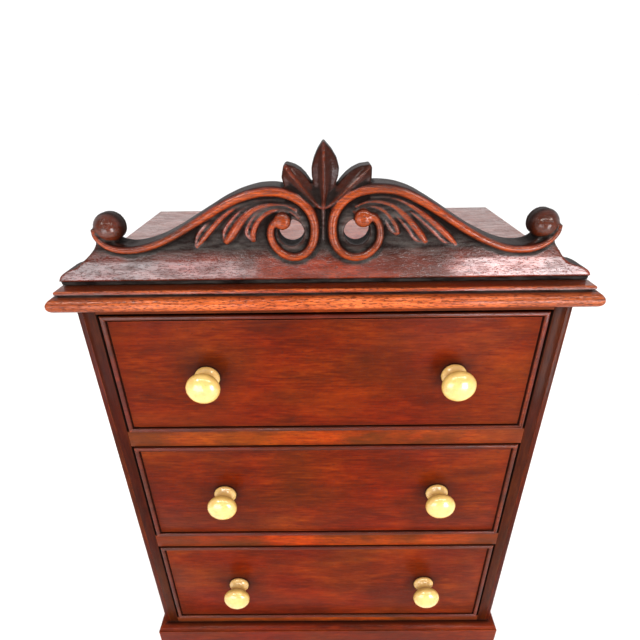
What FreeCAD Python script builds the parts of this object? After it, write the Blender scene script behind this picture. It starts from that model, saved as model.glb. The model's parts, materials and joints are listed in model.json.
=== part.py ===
"""Miniature mahogany chest of three drawers with a carved gallery, as a parametric document.

The chest stands on the plane Z = 0, faces -Y and is symmetrical about X = 0. All sizes are millimetres.
A solid-sided carcass carries a moulded top, and the carved gallery stands along the top's front edge.
Each drawer is dovetailed, has a cockbead round its front and two turned bone knobs, and slides on
runners.
The driving dimensions are the cells of the sheet "sizes"; every other size is an expression on them.
Pieces that fit together are cut by the very piece that goes in, so a joint always follows its mate.
"""
import FreeCAD, Part

import math
import os

import Sketcher
from FreeCAD import Placement, Rotation, Vector

SIZES = {
    # carcass
    "carcass_width": 280.0,  # over the two sides
    "carcass_depth": 175.0,  # from the front edges to the back of the back panel
    "side_thickness": 10.0,
    "stile_width": 7.0,  # facing strip let into the front edge of each side
    "stile_depth": 5.0,
    "rail_height": 12.5,
    "rail_depth": 22.0,
    "top_rail_height": 5.0,
    "tenon_length": 4.0,
    "tenon_setback": 8.0,
    "tenon_width": 8.0,
    "runner_width": 12.0,
    "bottom_thickness": 6.0,
    "housing_depth": 3.0,
    "back_thickness": 4.0,
    "back_rebate": 5.0,
    # top board and its moulded edge
    "top_thickness": 12.0,
    "nosing_overhang": 10.5,
    "nosing_height": 8.8,
    "nosing_set_forward": 0.5,  # how far the upper quarter of the half round stands in front of the lower
    "nosing_ease": 0.3,  # how much larger its radius is
    "step_overhang": 6.4,
    "quirk_height": 0.6,
    "quirk_depth": 0.9,
    "step_chamfer": 0.5,
    # carved gallery
    "gallery_width": 291.0,
    "gallery_height": 73.5,
    "gallery_thickness": 15.0,
    "ground_sinking": 2.5,
    "field_height": 15.0,
    "base_rebate_height": 3.0,
    "base_rebate_depth": 0.9,
    "volute_hole_radius": 7.6,
    "ball_radius": 7.4,
    "ball_centre_depth": 6.0,
    # plinth
    "plinth_height": 34.0,
    "plinth_thickness": 6.0,
    "plinth_overlap": 6.0,
    "ovolo_radius": 3.8,
    "ovolo_step": 0.8,
    "block_size": 14.0,
    "block_height": 20.0,
    # drawer openings, top to bottom
    "upper_opening": 86.0,
    "middle_opening": 89.0,
    "lower_opening": 93.0,
    # drawers
    "side_gap": 1.75,
    "top_gap": 0.7,
    "running_gap": 0.3,
    "front_thickness": 12.0,
    "bead_width": 3.0,
    "bead_sinking": 5.0,
    "bead_proud": 1.3,
    "bead_round": 1.1,
    "drawer_rear_gap": 3.0,  # between the shut drawer and the back panel
    "drawer_side_thickness": 6.0,
    "drawer_side_drop": 4.0,  # the drawer sides finish this far below the top of the front
    "drawer_back_thickness": 5.0,
    "drawer_back_inset": 6.0,
    "drawer_back_drop": 2.0,  # how far the back finishes below the sides
    "drawer_bottom_thickness": 3.0,
    "drawer_bottom_lift": 4.0,
    "groove_depth": 2.5,
    "tail_length": 5.5,
    "tail_flare": 1.0,
    "stop_width": 18.0,
    "stop_depth": 8.0,
    "stop_height": 2.8,
    "stop_gap": 0.1,
    "stop_inset": 60.0,  # from the inner face of the side to the stop
    # turned knobs
    "left_knob_place": 71.5,  # left of the centre line
    "right_knob_place": 78.5,  # right of the centre line
    "knob_projection": 18.0,
    "knob_radius": 10.1,
    "collar_radius": 7.8,
    "collar_length": 3.0,
    "neck_radius": 5.2,
    "neck_place": 7.2,
    "neck_hollow": 5.0,
    "knob_edge_radius": 4.0,
    "knob_widest_place": 12.4,
    "spigot_radius": 3.0,
    "spigot_length": 9.0,
    # fastenings
    "dowel_radius": 3.0,
    "dowel_length": 15.0,
    "dowel_in_top": 7.0,
    "dowel_front_place": 32.0,
    "dowel_rear_inset": 30.0,
    "screw_radius": 1.6,
    "screw_head_radius": 3.0,
    "screw_head_height": 2.4,
    "screw_length": 24.0,
    "screw_place": 95.0,
    "nail_radius": 0.8,
    "nail_length": 14.0,
    "nail_head_radius": 1.7,
    "nail_head_height": 0.7,
    "nail_inset": 18.0,
    "pin_radius": 0.6,
    "pin_length": 10.0,
    "pin_inset": 30.0,
}

NAILS_PER_SIDE = 4
PINS_PER_DRAWER = 3
TAILS_PER_CORNER = 3
LEFT, RIGHT = -1, 1
SPARE = 1.0  # how far the waste that a moulding cutter removes reaches past the board

doc = FreeCAD.newDocument("miniature_chest")
sheet = doc.addObject("Spreadsheet::Sheet", "sizes")
sheet.Label = "sizes"


class Size:
    """A number and the sheet expression that gives it, so that sums of sizes stay parametric."""

    def __init__(self, value, text):
        self.value = value
        self.text = text

    def _join(self, other, sign, result, swap=False):
        other = as_size(other)
        first, second = (other, self) if swap else (self, other)
        return Size(result(first.value, second.value), f"({first.text} {sign} {second.text})")

    def __add__(self, other):
        return self._join(other, "+", lambda a, b: a + b)

    def __radd__(self, other):
        return self._join(other, "+", lambda a, b: a + b, swap=True)

    def __sub__(self, other):
        return self._join(other, "-", lambda a, b: a - b)

    def __rsub__(self, other):
        return self._join(other, "-", lambda a, b: a - b, swap=True)

    def __mul__(self, other):
        return self._join(other, "*", lambda a, b: a * b)

    def __rmul__(self, other):
        return self._join(other, "*", lambda a, b: a * b, swap=True)

    def __truediv__(self, other):
        return self._join(other, "/", lambda a, b: a / b)

    def __rtruediv__(self, other):
        return self._join(other, "/", lambda a, b: a / b, swap=True)

    def __neg__(self):
        return Size(-self.value, f"(0 - {self.text})")


def as_size(number):
    return number if isinstance(number, Size) else Size(float(number), repr(float(number)))


def fill_sheet():
    """Writes one row per driving dimension, name in column A and value in column B."""
    for row, (alias, value) in enumerate(SIZES.items(), start=1):
        sheet.set(f"A{row}", alias)
        sheet.set(f"B{row}", str(value))
        sheet.setAlias(f"B{row}", alias)
    doc.recompute()


fill_sheet()


def size(alias):
    """The named cell as a Size."""
    return Size(float(sheet.get(alias)), f"sizes.{alias}")


def bind(thing, prop, amount):
    thing.setExpression(prop, as_size(amount).text)


def put(thing, x, y, z):
    """Ties an object's place to three sizes."""
    for axis, amount in zip("xyz", (x, y, z)):
        bind(thing, f"Placement.Base.{axis}", amount)


nodes = {}


def node(thing, name):
    """Marks a finished object as one sub-part; its label names its file."""
    thing.Label = name
    nodes[name] = thing
    return thing


# ---- building blocks ----


def block(name, x, y, z):
    """A board between (low, high) pairs along X, Y and Z."""
    made = doc.addObject("Part::Box", name)
    for prop, (low, high) in zip(("Length", "Width", "Height"), (x, y, z)):
        bind(made, prop, as_size(high) - low)
    put(made, x[0], y[0], z[0])
    return made


def cylinder(name, radius, length, place, axis=Vector(0, 0, 1)):
    made = doc.addObject("Part::Cylinder", name)
    made.Placement = Placement(Vector(), Rotation(Vector(0, 0, 1), axis))
    bind(made, "Radius", radius)
    bind(made, "Height", length)
    put(made, *place)
    return made


def fuse(name, pieces):
    made = doc.addObject("Part::MultiFuse", name)
    made.Shapes = pieces
    made.Refine = True
    return made


def group(name, pieces):
    """Identical separate pieces held as one sub-part."""
    made = doc.addObject("Part::Compound", name)
    made.Links = pieces
    return made


def cut_by(name, thing, mates):
    """The thing with a seat cut for each piece that fits into it."""
    for number, mate in enumerate(mates, start=1):
        cut = doc.addObject("Part::Cut", f"{name}_seat_{number}")
        cut.Base = thing
        cut.Tool = mate
        thing = cut
    return thing


def letter(side):
    return {LEFT: "l", RIGHT: "r"}[side]


def on_side(side, near, far):
    """The (low, high) pair of a span measured outwards from the centre line on one side."""
    return (as_size(near), as_size(far)) if side == RIGHT else (-as_size(far), -as_size(near))


def body(name, x, y, z):
    made = doc.addObject("PartDesign::Body", name)
    put(made, x, y, z)
    return made


def origin_plane(owner, role):
    return next(f for f in owner.Origin.OriginFeatures if f.Role == role)


def sketch_of(owner, role, name, outline):
    """A closed sketch on an origin plane, from a list of (u, v) corners.

    A corner with a third value is reached by an arc of that radius, which is positive where the arc
    bulges to the right of the way it is drawn.
    """
    made = owner.newObject("Sketcher::SketchObject", name)
    made.AttachmentSupport = [(origin_plane(owner, role), "")]
    made.MapMode = "FlatFace"
    corners = [(as_size(c[0]), as_size(c[1])) for c in outline]
    bulges = [c[2] if len(c) > 2 else None for c in outline]
    count = len(corners)
    for i in range(count):
        a = Vector(corners[i][0].value, corners[i][1].value, 0)
        b = Vector(corners[(i + 1) % count][0].value, corners[(i + 1) % count][1].value, 0)
        bulge = bulges[(i + 1) % count]
        if bulge is None:
            made.addGeometry(Part.LineSegment(a, b), False)
        else:
            made.addGeometry(arc_between(a, b, as_size(bulge).value), False)
    starts = [start_of(made.Geometry[i], corners[i]) for i in range(count)]
    for i in range(count):
        after = (i + 1) % count
        made.addConstraint(Sketcher.Constraint("Coincident", i, 3 - starts[i], after, starts[after]))
    for i in range(count):
        for kind, amount in zip(("DistanceX", "DistanceY"), corners[i]):
            index = made.addConstraint(Sketcher.Constraint(kind, -1, 1, i, starts[i], amount.value))
            made.setExpression(f"Constraints[{index}]", amount.text)
        bulge = bulges[(i + 1) % count]
        if bulge is not None:
            radius = as_size(bulge)
            index = made.addConstraint(Sketcher.Constraint("Radius", i, abs(radius.value)))
            made.setExpression(f"Constraints[{index}]", (radius if radius.value > 0 else -radius).text)
    return made


def arc_between(a, b, radius):
    """The short arc from a to b; a positive radius bulges to the right of the way from a to b."""
    way = b - a
    left = Vector(-way.y, way.x, 0).normalize()
    rise = max(radius * radius - (way.Length / 2) ** 2, 0.0) ** 0.5
    centre = (a + b) / 2 + left * (rise if radius > 0 else -rise)
    first, last = (a, b) if radius > 0 else (b, a)
    angles = [math.atan2(p.y - centre.y, p.x - centre.x) for p in (first, last)]
    if angles[1] < angles[0]:
        angles[1] += 2 * math.pi
    return Part.ArcOfCircle(Part.Circle(centre, Vector(0, 0, 1), abs(radius)), *angles)


def start_of(edge, corner):
    """Which end of a sketch edge, 1 or 2, is at the corner; an arc is stored anticlockwise."""
    place = Vector(corner[0].value, corner[1].value, 0)
    return 1 if edge.StartPoint.distanceToPoint(place) < edge.EndPoint.distanceToPoint(place) else 2


def pad(owner, sketch, length, name, reverse=False):
    made = owner.newObject("PartDesign::Pad", name)
    made.Profile = sketch
    made.Reversed = reverse
    bind(made, "Length", length)
    return made


def pocket_through(owner, sketch, name):
    """Cuts the sketch right through, both ways."""
    made = owner.newObject("PartDesign::Pocket", name)
    made.Profile = sketch
    made.Type = "ThroughAll"
    made.Midplane = True
    return made


# ---- places that several pieces share ----

width = size("carcass_width")
depth = size("carcass_depth")
half_width = width / 2
inner = half_width - size("side_thickness")  # inner face of each side, from the centre line
front_y = -(depth - size("knob_projection")) / 2  # front edges; the origin is the middle of the whole box
back_y = front_y + depth
panel_y = back_y - size("back_thickness")
rail_end_y = front_y + size("rail_depth")

bottom_rail_z = size("plinth_height") - size("plinth_overlap")
rail_height = size("rail_height")
lower_z = bottom_rail_z + rail_height
lower_rail_z = lower_z + size("lower_opening")
middle_z = lower_rail_z + rail_height
upper_rail_z = middle_z + size("middle_opening")
upper_z = upper_rail_z + rail_height
top_rail_z = upper_z + size("upper_opening")
carcass_z = top_rail_z + size("top_rail_height")
top_z = carcass_z + size("top_thickness")


# ---- fastenings ----


def nail(name, x, y, z, axis, radius, length, head_radius=None, head_height=None):
    """A round nail whose head is at (x, y, z) and whose point goes along axis."""
    shank = cylinder(f"{name}_shank", radius, length, (x, y, z), axis)
    if head_radius is None:
        return shank
    head = cylinder(f"{name}_head", head_radius, head_height, (x, y, z), axis)
    return fuse(name, [shank, head])


def make_back_nails():
    """Nails through the back panel into the rebate of each side."""
    made = []
    run = (carcass_z - lower_z - 2 * size("nail_inset")) / (NAILS_PER_SIDE - 1)
    for side in (LEFT, RIGHT):
        x = side * (inner + size("back_rebate") / 2)
        for i in range(NAILS_PER_SIDE):
            z = lower_z + size("nail_inset") + run * i
            name = f"back_nail_{letter(side)}{i + 1}"
            shank = (size("nail_radius"), size("nail_length"))
            head = (size("nail_head_radius"), size("nail_head_height"))
            made.append(nail(name, x, back_y, z, Vector(0, -1, 0), *shank, *head))
    return made


def make_top_dowels():
    """Dowels that fix the top board to the two sides."""
    made = []
    places = (front_y + size("dowel_front_place"), back_y - size("dowel_rear_inset"))
    z = carcass_z + size("dowel_in_top") - size("dowel_length")
    for side in (LEFT, RIGHT):
        x = side * (half_width - size("side_thickness") / 2)
        for i, y in enumerate(places):
            name = f"top_dowel_{letter(side)}{i + 1}"
            made.append(cylinder(name, size("dowel_radius"), size("dowel_length"), (x, y, z)))
    return made


def make_gallery_screws():
    """Countersunk screws up through the top board into the gallery's lower edge."""
    made = []
    y = front_y + size("gallery_thickness") / 2 + size("ground_sinking") / 2
    for i, x in enumerate((-size("screw_place"), as_size(0), size("screw_place"))):
        name = f"gallery_screw_{i + 1}"
        shank = cylinder(f"{name}_shank", size("screw_radius"), size("screw_length"), (x, y, carcass_z))
        head = doc.addObject("Part::Cone", f"{name}_head")
        bind(head, "Radius1", size("screw_head_radius"))
        bind(head, "Radius2", size("screw_radius"))
        bind(head, "Height", size("screw_head_height"))
        put(head, x, y, carcass_z)
        made.append(fuse(name, [shank, head]))
    return made


back_nails = make_back_nails()
node(group("back_nails", back_nails), "back_nails")
top_dowels = make_top_dowels()
node(group("top_dowels", top_dowels), "top_dowels")
gallery_screws = make_gallery_screws()
node(group("gallery_screws", gallery_screws), "gallery_screws")


# ---- carcass ----


def make_rail(name, z, height):
    """A cross rail between the sides, with a stub tenon at each end."""
    cheek = (front_y, rail_end_y)
    rail = block(f"{name}_board", (-inner, inner), cheek, (z, z + height))
    tenon_y = (front_y + size("tenon_setback"), front_y + size("tenon_setback") + size("tenon_width"))
    tenon_z = (z + height / 4, z + height * 3 / 4)
    tenons = []
    for side in (LEFT, RIGHT):
        tenon_x = on_side(side, inner, inner + size("tenon_length"))
        tenons.append(block(f"{name}_tenon_{letter(side)}", tenon_x, tenon_y, tenon_z))
    return fuse(name, [rail, *tenons])


rails = {
    "bottom_rail": make_rail("bottom_rail", bottom_rail_z, rail_height),
    "lower_rail": make_rail("lower_rail", lower_rail_z, rail_height),
    "upper_rail": make_rail("upper_rail", upper_rail_z, rail_height),
    "top_rail": make_rail("top_rail", top_rail_z, size("top_rail_height")),
}
for name, rail in rails.items():
    node(rail, name)

bottom_board = block(
    "bottom_board",
    (-inner - size("housing_depth"), inner + size("housing_depth")),
    (rail_end_y, panel_y),
    (lower_z - size("bottom_thickness"), lower_z),
)
node(bottom_board, "bottom_board")

back_blank = block(
    "back_blank",
    (-inner - size("back_rebate"), inner + size("back_rebate")),
    (panel_y, back_y),
    (lower_z - size("bottom_thickness"), carcass_z),
)
node(cut_by("back_panel", back_blank, back_nails), "back_panel")

for side, word in ((LEFT, "left"), (RIGHT, "right")):
    full_height = (as_size(0), carcass_z)
    stile = block(
        f"{word}_stile",
        on_side(side, inner, inner + size("stile_width")),
        (front_y, front_y + size("stile_depth")),
        full_height,
    )
    node(stile, f"{word}_stile")
    side_x = on_side(side, inner, half_width)
    side_blank = block(f"{word}_side_blank", side_x, (front_y, back_y), full_height)
    fixings = [f for f in back_nails + top_dowels if f"_{letter(side)}" in f.Name]
    mates = [stile, *rails.values(), bottom_board, back_blank, *fixings]
    node(cut_by(f"{word}_side", side_blank, mates), f"{word}_side")

    behind_rail = (rail_end_y, panel_y)
    wide = on_side(side, inner - size("runner_width"), inner)
    for rail_name, z in (("upper", upper_rail_z), ("lower", lower_rail_z)):
        runner = block(f"{rail_name}_{word}_runner", wide, behind_rail, (z, z + rail_height))
        node(runner, f"{rail_name}_{word}_runner")
    node(block(f"{word}_kicker", wide, behind_rail, (top_rail_z, carcass_z)), f"{word}_kicker")


def make_stops():
    """Small blocks on each rail that a drawer front meets as it shuts."""
    made = []
    near = front_y + size("front_thickness") + size("stop_gap")
    for level, z in (("lower", lower_z), ("middle", middle_z), ("upper", upper_z)):
        for side in (LEFT, RIGHT):
            reach = inner - size("stop_inset")
            across = on_side(side, reach - size("stop_width"), reach)
            stop_y = (near, near + size("stop_depth"))
            stop_z = (z, z + size("stop_height"))
            made.append(block(f"{level}_stop_{letter(side)}", across, stop_y, stop_z))
    return made


node(group("drawer_stops", make_stops()), "drawer_stops")


# ---- top board ----


def top_edge(out):
    """The moulded edge from the underside up: a half-round nosing, a quirk, a step and its eased arris.

    out turns a distance beyond the carcass into a coordinate.
    """
    nose = size("nosing_overhang")
    half_nose = size("nosing_height") / 2
    crown = nose - half_nose + size("nosing_set_forward")
    step = size("step_overhang")
    quirk_top = size("nosing_height") + size("quirk_height")
    top = size("top_thickness")
    ease = size("step_chamfer")
    return [
        (out(nose - half_nose), as_size(0)),
        (out(nose), half_nose, half_nose),
        (out(crown), size("nosing_height"), half_nose + size("nosing_ease")),
        (out(step - size("quirk_depth")), size("nosing_height")),
        (out(step - size("quirk_depth")), quirk_top),
        (out(step), quirk_top),
        (out(step), top - ease),
        (out(step - ease), top),
    ]


def make_top():
    """The board is padded with both moulded ends, and its front edge is then cut to the same section,
    which gives clean mitred corners."""
    overhang = size("nosing_overhang")
    board = body("top_body", as_size(0), front_y - overhang, carcass_z)
    right = top_edge(lambda out: half_width + out)
    section = sketch_of(board, "XZ_Plane", "top_section", right + turn_back(right))
    pad(board, section, depth + overhang, "top_pad", reverse=True)
    doc.recompute()
    edge = top_edge(lambda out: overhang - out)
    outside = as_size(-SPARE)
    above = size("top_thickness") + SPARE
    under = [(outside, outside), (edge[0][0], outside)]
    over = [(edge[-1][0], above), (outside, above)]
    negative = sketch_of(board, "YZ_Plane", "front_edge_section", under + mirror_bulges(edge) + over)
    pocket_through(board, negative, "front_edge_cut")
    return board


def turn_back(corners):
    """The mirror image in the centre line, walked the other way so that it continues the outline."""
    turned = []
    for i in range(len(corners) - 1, -1, -1):
        x, z = corners[i][:2]
        radius = corners[i + 1][2] if i + 1 < len(corners) and len(corners[i + 1]) > 2 else None
        turned.append((-x, z) if radius is None else (-x, z, radius))
    return turned


def mirror_bulges(corners):
    return [c if len(c) < 3 else (c[0], c[1], -c[2]) for c in corners]


top_body = make_top()
node(cut_by("top_board", top_body, [*top_dowels, *gallery_screws]), "top_board")


# ---- plinth ----


def plinth_edge(out):
    """The moulded upper edge of the plinth: a small step and a quarter round."""
    height = size("plinth_height")
    thick = size("plinth_thickness")
    step = size("ovolo_step")
    radius = size("ovolo_radius")
    return [
        (out(thick), height - radius - step),
        (out(thick - step), height - radius - step),
        (out(thick - step), height - radius),
        (out(thick - step - radius), height, radius),
    ]


def make_plinth_board(name, place, plan, role, out, sign):
    """A mitred board in plan, padded to height, with its upper edge moulded."""
    board = body(name, *place)
    pad(board, sketch_of(board, "XY_Plane", f"{name}_plan", plan), size("plinth_height"), f"{name}_pad")
    doc.recompute()
    edge = plinth_edge(out)
    above = size("plinth_height") + SPARE
    beyond = out(size("plinth_thickness") + SPARE)
    corners = [(beyond, edge[0][1]), *edge, (edge[-1][0], above), (beyond, above)]
    corners = corners if sign > 0 else mirror_bulges(corners)
    pocket_through(board, sketch_of(board, role, f"{name}_moulding", corners), f"{name}_moulding_cut")
    return board


thick = size("plinth_thickness")
front_plan = [
    (-half_width - thick, -thick), (half_width + thick, -thick),
    (half_width, as_size(0)), (-half_width, as_size(0)),
]
plinth_front = make_plinth_board(
    "plinth_front", (as_size(0), front_y, as_size(0)), front_plan, "YZ_Plane", lambda out: -out, -1
)
node(plinth_front, "plinth_front")
for side, word in ((LEFT, "left"), (RIGHT, "right")):
    plan = [
        (as_size(0), as_size(0)),
        (side * thick, -thick),
        (side * thick, depth),
        (as_size(0), depth),
    ]
    plan = plan if side == RIGHT else list(reversed(plan))
    board = make_plinth_board(
        f"plinth_{word}", (side * half_width, front_y, as_size(0)), plan, "XZ_Plane",
        lambda out, side=side: side * out, side,
    )
    node(board, f"plinth_{word}")


def make_corner_blocks():
    """Glue blocks under the bottom, in the angle of each side and the plinth or the back."""
    made = []
    lift = bottom_rail_z - size("block_height")
    for side in (LEFT, RIGHT):
        x = on_side(side, inner - size("block_size"), inner)
        front = (front_y, front_y + size("block_size"))
        made.append(block(f"front_block_{letter(side)}", x, front, (lift, bottom_rail_z)))
        rear = (panel_y - size("block_size"), panel_y)
        under_bottom = lower_z - size("bottom_thickness")
        rear_z = (under_bottom - size("block_height"), under_bottom)
        made.append(block(f"rear_block_{letter(side)}", x, rear, rear_z))
    return made


node(group("corner_blocks", make_corner_blocks()), "corner_blocks")


# ---- carved gallery ----
# The carving is drawn at 291 x 73.5 mm, x from the centre line and z up from the top board, and scaled to
# the gallery's own width and height. The two sides were carved by eye and differ a little.

DRAWN_WIDTH, DRAWN_HEIGHT = 291.0, 73.5
HALF_OUTLINES = {
    LEFT: [(-145.5, 4), (-141, 8.7), (-135, 11.2), (-129, 15.5), (-124, 20), (-121.5, 25)],
    RIGHT: [(145.5, 4), (141, 8), (135, 10.2), (129.5, 14.2), (125.5, 18.5), (123.5, 24)],
}
SCROLLS = {
    LEFT: [
        (-119.5, 28), (-115, 23), (-107, 20.7), (-97, 21.2), (-86, 24.2), (-74, 30), (-62, 37.8),
        (-50, 45), (-38, 49.8), (-28, 51.4), (-18, 50), (-9.5, 45.3), (-4.8, 38), (-4, 30),
        (-6.6, 21.6), (-13, 16.3), (-20, 16.8), (-25.8, 21.7), (-27.8, 28), (-25.8, 34), (-21.5, 36),
    ],
    RIGHT: [
        (122, 28), (118, 22.4), (111, 19.2), (103, 18.8), (93, 21.2), (82, 26.1), (70, 33.7), (58, 41.9),
        (46, 48.6), (36, 51.5), (26, 51.7), (15, 48.8), (7.5, 41.8), (4.8, 33), (6.2, 24),
        (11.5, 17.2), (19, 15.1), (26, 18.3), (30, 25.5), (29, 33.5), (24, 38), (20.3, 35.8),
    ],
}
LEAVES = {
    "centre": [
        (0.6, 73.5), (-3.6, 68.5), (-5.7, 60), (-4, 51), (-0.5, 41), (1.5, 41), (5, 50), (8, 60), (5, 68),
    ],
    "left": [(-19, 63.5), (-18.2, 55.5), (-10, 50), (-1, 40.5), (0, 42), (-3, 54), (-8.5, 62), (-15.5, 64.8)],
    "right": [(24.4, 62.5), (20, 64.6), (12, 63), (6, 57), (1, 42), (2, 40.5), (12, 50.5), (22.6, 55.5)],
}
FINGERS = {
    LEFT: [
        [(-68.5, 21), (-65.5, 28.5), (-56, 38), (-42, 45), (-36, 46), (-45, 39.5), (-54, 30.5), (-61, 22.5)],
        [(-53, 23), (-51, 30), (-43, 40), (-31, 45.3), (-26, 45), (-37, 39), (-43, 29.5), (-48.5, 22.8)],
        [(-38.5, 24), (-38.2, 31), (-33, 40), (-24, 43.5), (-22, 42), (-30, 38.5), (-34, 31), (-35.3, 24.5)],
    ],
    RIGHT: [
        [(71, 21.5), (64, 31.5), (53, 40), (40, 46), (36, 46.3), (46, 39), (57, 27.5), (65, 21.8)],
        [(54.8, 22), (50, 32), (42, 40), (30, 45), (26, 44.8), (36, 38.5), (44, 28.5), (50, 22.8)],
        [(40, 27.5), (38, 33.5), (32, 41), (24, 43.8), (22, 42.6), (29, 39.5), (34, 31.5), (36.5, 27)],
    ],
}
EYES = {LEFT: (-21, 35.2), RIGHT: (20.5, 35.6)}
VOLUTE_HOLES = {LEFT: (-17.6, 28.0), RIGHT: (18.8, 27.9)}
BALLS = {LEFT: (-114.5, 31.8), RIGHT: (117.0, 31.2)}
EYE_RADIUS = 3.6
EYE_MARGIN = 0.6  # wood left round each eye where the hole beside it is cut
SCROLL_MEETING = (0.5, 46)  # where the two scrolls pass closest, at the foot of the crest
LEAF_ROOTING = 1.0  # how deep the raised leaves run into the ground
ROLL_HALF_WIDTH = 2.1
FINGER_PROUD = 1.0
ROLL_PROUD = 1.2


def make_gallery_shape():
    """The gallery's solid: a sunk ground, the plain field below it, and the raised scrolls and leaves."""
    across = size("gallery_width").value / DRAWN_WIDTH
    upward = size("gallery_height").value / DRAWN_HEIGHT
    thickness = size("gallery_thickness").value
    sinking = size("ground_sinking").value

    def at(point, y=0.0):
        return Vector(point[0] * across, y, point[1] * upward)

    def spline(points, y, closed=False):
        curve = Part.BSplineCurve()
        curve.interpolate([at(p, y) for p in points], PeriodicFlag=closed)
        return curve

    def slab(edges, near, far):
        face = Part.Face(Part.Wire(edges))
        return face.extrude(Vector(0, far - near, 0))

    def leaf(points, near, far):
        return slab([spline(points, near, closed=True).toShape()], near, far)

    def roll(points, near, far):
        """A raised band that follows the scroll's centre line at an even width."""
        line = spline(points, near)
        first, last = line.FirstParameter, line.LastParameter
        steps = 3 * len(points)
        sides = {1: [], -1: []}
        for i in range(steps + 1):
            t = first + (last - first) * i / steps
            way = line.tangent(t)[0]
            normal = Vector(-way.z, 0, way.x)
            for hand in sides:
                sides[hand].append(line.value(t) + normal * (hand * ROLL_HALF_WIDTH))
        edges = []
        for hand in sides:
            curve = Part.BSplineCurve()
            curve.interpolate(sides[hand])
            edges.append(curve.toShape())
        edges.append(Part.LineSegment(sides[1][0], sides[-1][0]).toShape())
        edges.append(Part.LineSegment(sides[1][-1], sides[-1][-1]).toShape())
        return slab(Part.sortEdges(edges)[0], near, far)

    def drill(radius, place):
        return Part.makeCylinder(radius, thickness + 2 * SPARE, at(place, -SPARE), Vector(0, 1, 0))

    left, right = HALF_OUTLINES[LEFT], HALF_OUTLINES[RIGHT]
    upper_edge = [left[-1], *SCROLLS[LEFT][2:11], SCROLL_MEETING, *reversed(SCROLLS[RIGHT][2:11]), right[-1]]
    left_foot, right_foot = (left[0][0], 0), (right[0][0], 0)

    def profile(near, far):
        """The whole outline as a board between two depths."""
        edges = [
            spline(left, near).toShape(),
            spline(upper_edge, near).toShape(),
            spline(list(reversed(right)), near).toShape(),
            Part.LineSegment(at(right[0], near), at(right_foot, near)).toShape(),
            Part.LineSegment(at(right_foot, near), at(left_foot, near)).toShape(),
            Part.LineSegment(at(left_foot, near), at(left[0], near)).toShape(),
        ]
        return slab(Part.sortEdges(edges)[0], near, far)

    across_all = at(right_foot).x - at(left_foot).x
    lip = Part.makeBox(across_all, sinking, size("field_height").value, at(left_foot))
    solid = profile(sinking, thickness)
    added = [profile(0.0, sinking).common(lip)]
    for side in (LEFT, RIGHT):
        hole = drill(size("volute_hole_radius").value, VOLUTE_HOLES[side])
        solid = solid.cut(hole.cut(drill(EYE_RADIUS + EYE_MARGIN, EYES[side])))
        added.append(roll(SCROLLS[side], -ROLL_PROUD, thickness))
        eye = at(EYES[side], -ROLL_PROUD)
        added.append(Part.makeCylinder(EYE_RADIUS, thickness - eye.y, eye, Vector(0, 1, 0)))
        ball = at(BALLS[side], size("ball_centre_depth").value)
        added.append(Part.makeSphere(size("ball_radius").value, ball))
        added.append(Part.makeCylinder(size("ball_radius").value, thickness - ball.y, ball, Vector(0, 1, 0)))
        added.extend(leaf(points, -FINGER_PROUD, sinking + LEAF_ROOTING) for points in FINGERS[side])
    added.extend(leaf(points, 0.0, thickness) for points in LEAVES.values())
    for piece in added:
        solid = solid.fuse(piece)
    rebate_depth, rebate_height = size("base_rebate_depth").value, size("base_rebate_height").value
    rebate = Part.makeBox(across_all, rebate_depth, rebate_height, at(left_foot))
    return solid.cut(rebate).removeSplitter()


gallery_blank = doc.addObject("Part::Feature", "gallery_blank")
gallery_blank.Shape = make_gallery_shape()
gallery_blank.Placement = Placement(Vector(0, front_y.value, top_z.value), Rotation())
node(cut_by("carved_gallery", gallery_blank, gallery_screws), "carved_gallery")


# ---- drawers ----


def make_knob(name, x, z):
    """A knob turned in one piece: spigot, rounded collar, waisted neck and an oval head."""
    made = body(name, x, front_y, z)
    collar, neck, head = size("collar_radius"), size("neck_radius"), size("knob_radius")
    rim = size("collar_length") / 2
    widest, tip = size("knob_widest_place"), size("knob_projection")
    # The oval head is a tight arc round its edge that runs smoothly into a flatter arc front and back.
    deep = tip - widest
    edge = size("knob_edge_radius")
    flat = (head * head + deep * deep - 2 * head * edge) / (2 * (deep - edge))
    meet_radius = (head - edge) * flat / (flat - edge)
    meet_depth = (flat - deep) * edge / (flat - edge)
    # (radius, distance out from the drawer front, radius of the arc that leads there)
    profile = [
        (as_size(0), -size("spigot_length")),
        (size("spigot_radius"), -size("spigot_length")),
        (size("spigot_radius"), as_size(0)),
        (collar - rim, as_size(0)),
        (collar, rim, -rim),
        (collar - rim, 2 * rim, -rim),
        (neck, size("neck_place"), size("neck_hollow")),
        (meet_radius, widest - meet_depth, -flat),
        (head, widest, -edge),
        (meet_radius, widest + meet_depth, -edge),
        (as_size(0), tip, -flat),
    ]
    outline = sketch_of(made, "XY_Plane", f"{name}_profile", [(c[0], -c[1], *c[2:]) for c in profile])
    turned = made.newObject("PartDesign::Revolution", f"{name}_turned")
    turned.Profile = outline
    turned.ReferenceAxis = (outline, ["V_Axis"])
    turned.Angle = 360
    return made


def make_bead_strip(name, plan, place, edge_test):
    """One mitred strip of cockbead, its two front arrises rounded."""
    strip = body(name, *place)
    section = sketch_of(strip, "XZ_Plane", f"{name}_plan", plan)
    pad(strip, section, size("bead_sinking") + size("bead_proud"), f"{name}_pad", reverse=True)
    doc.recompute()
    tip = strip.Tip
    long_front = [
        f"Edge{i + 1}"
        for i, edge in enumerate(tip.Shape.Edges)
        if all(abs(v.Y) < 1e-6 for v in edge.Vertexes) and edge_test(edge)
    ]
    rounded = strip.newObject("PartDesign::Fillet", f"{name}_round")
    rounded.Base = (tip, long_front)
    bind(rounded, "Radius", size("bead_round"))
    return strip


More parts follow.
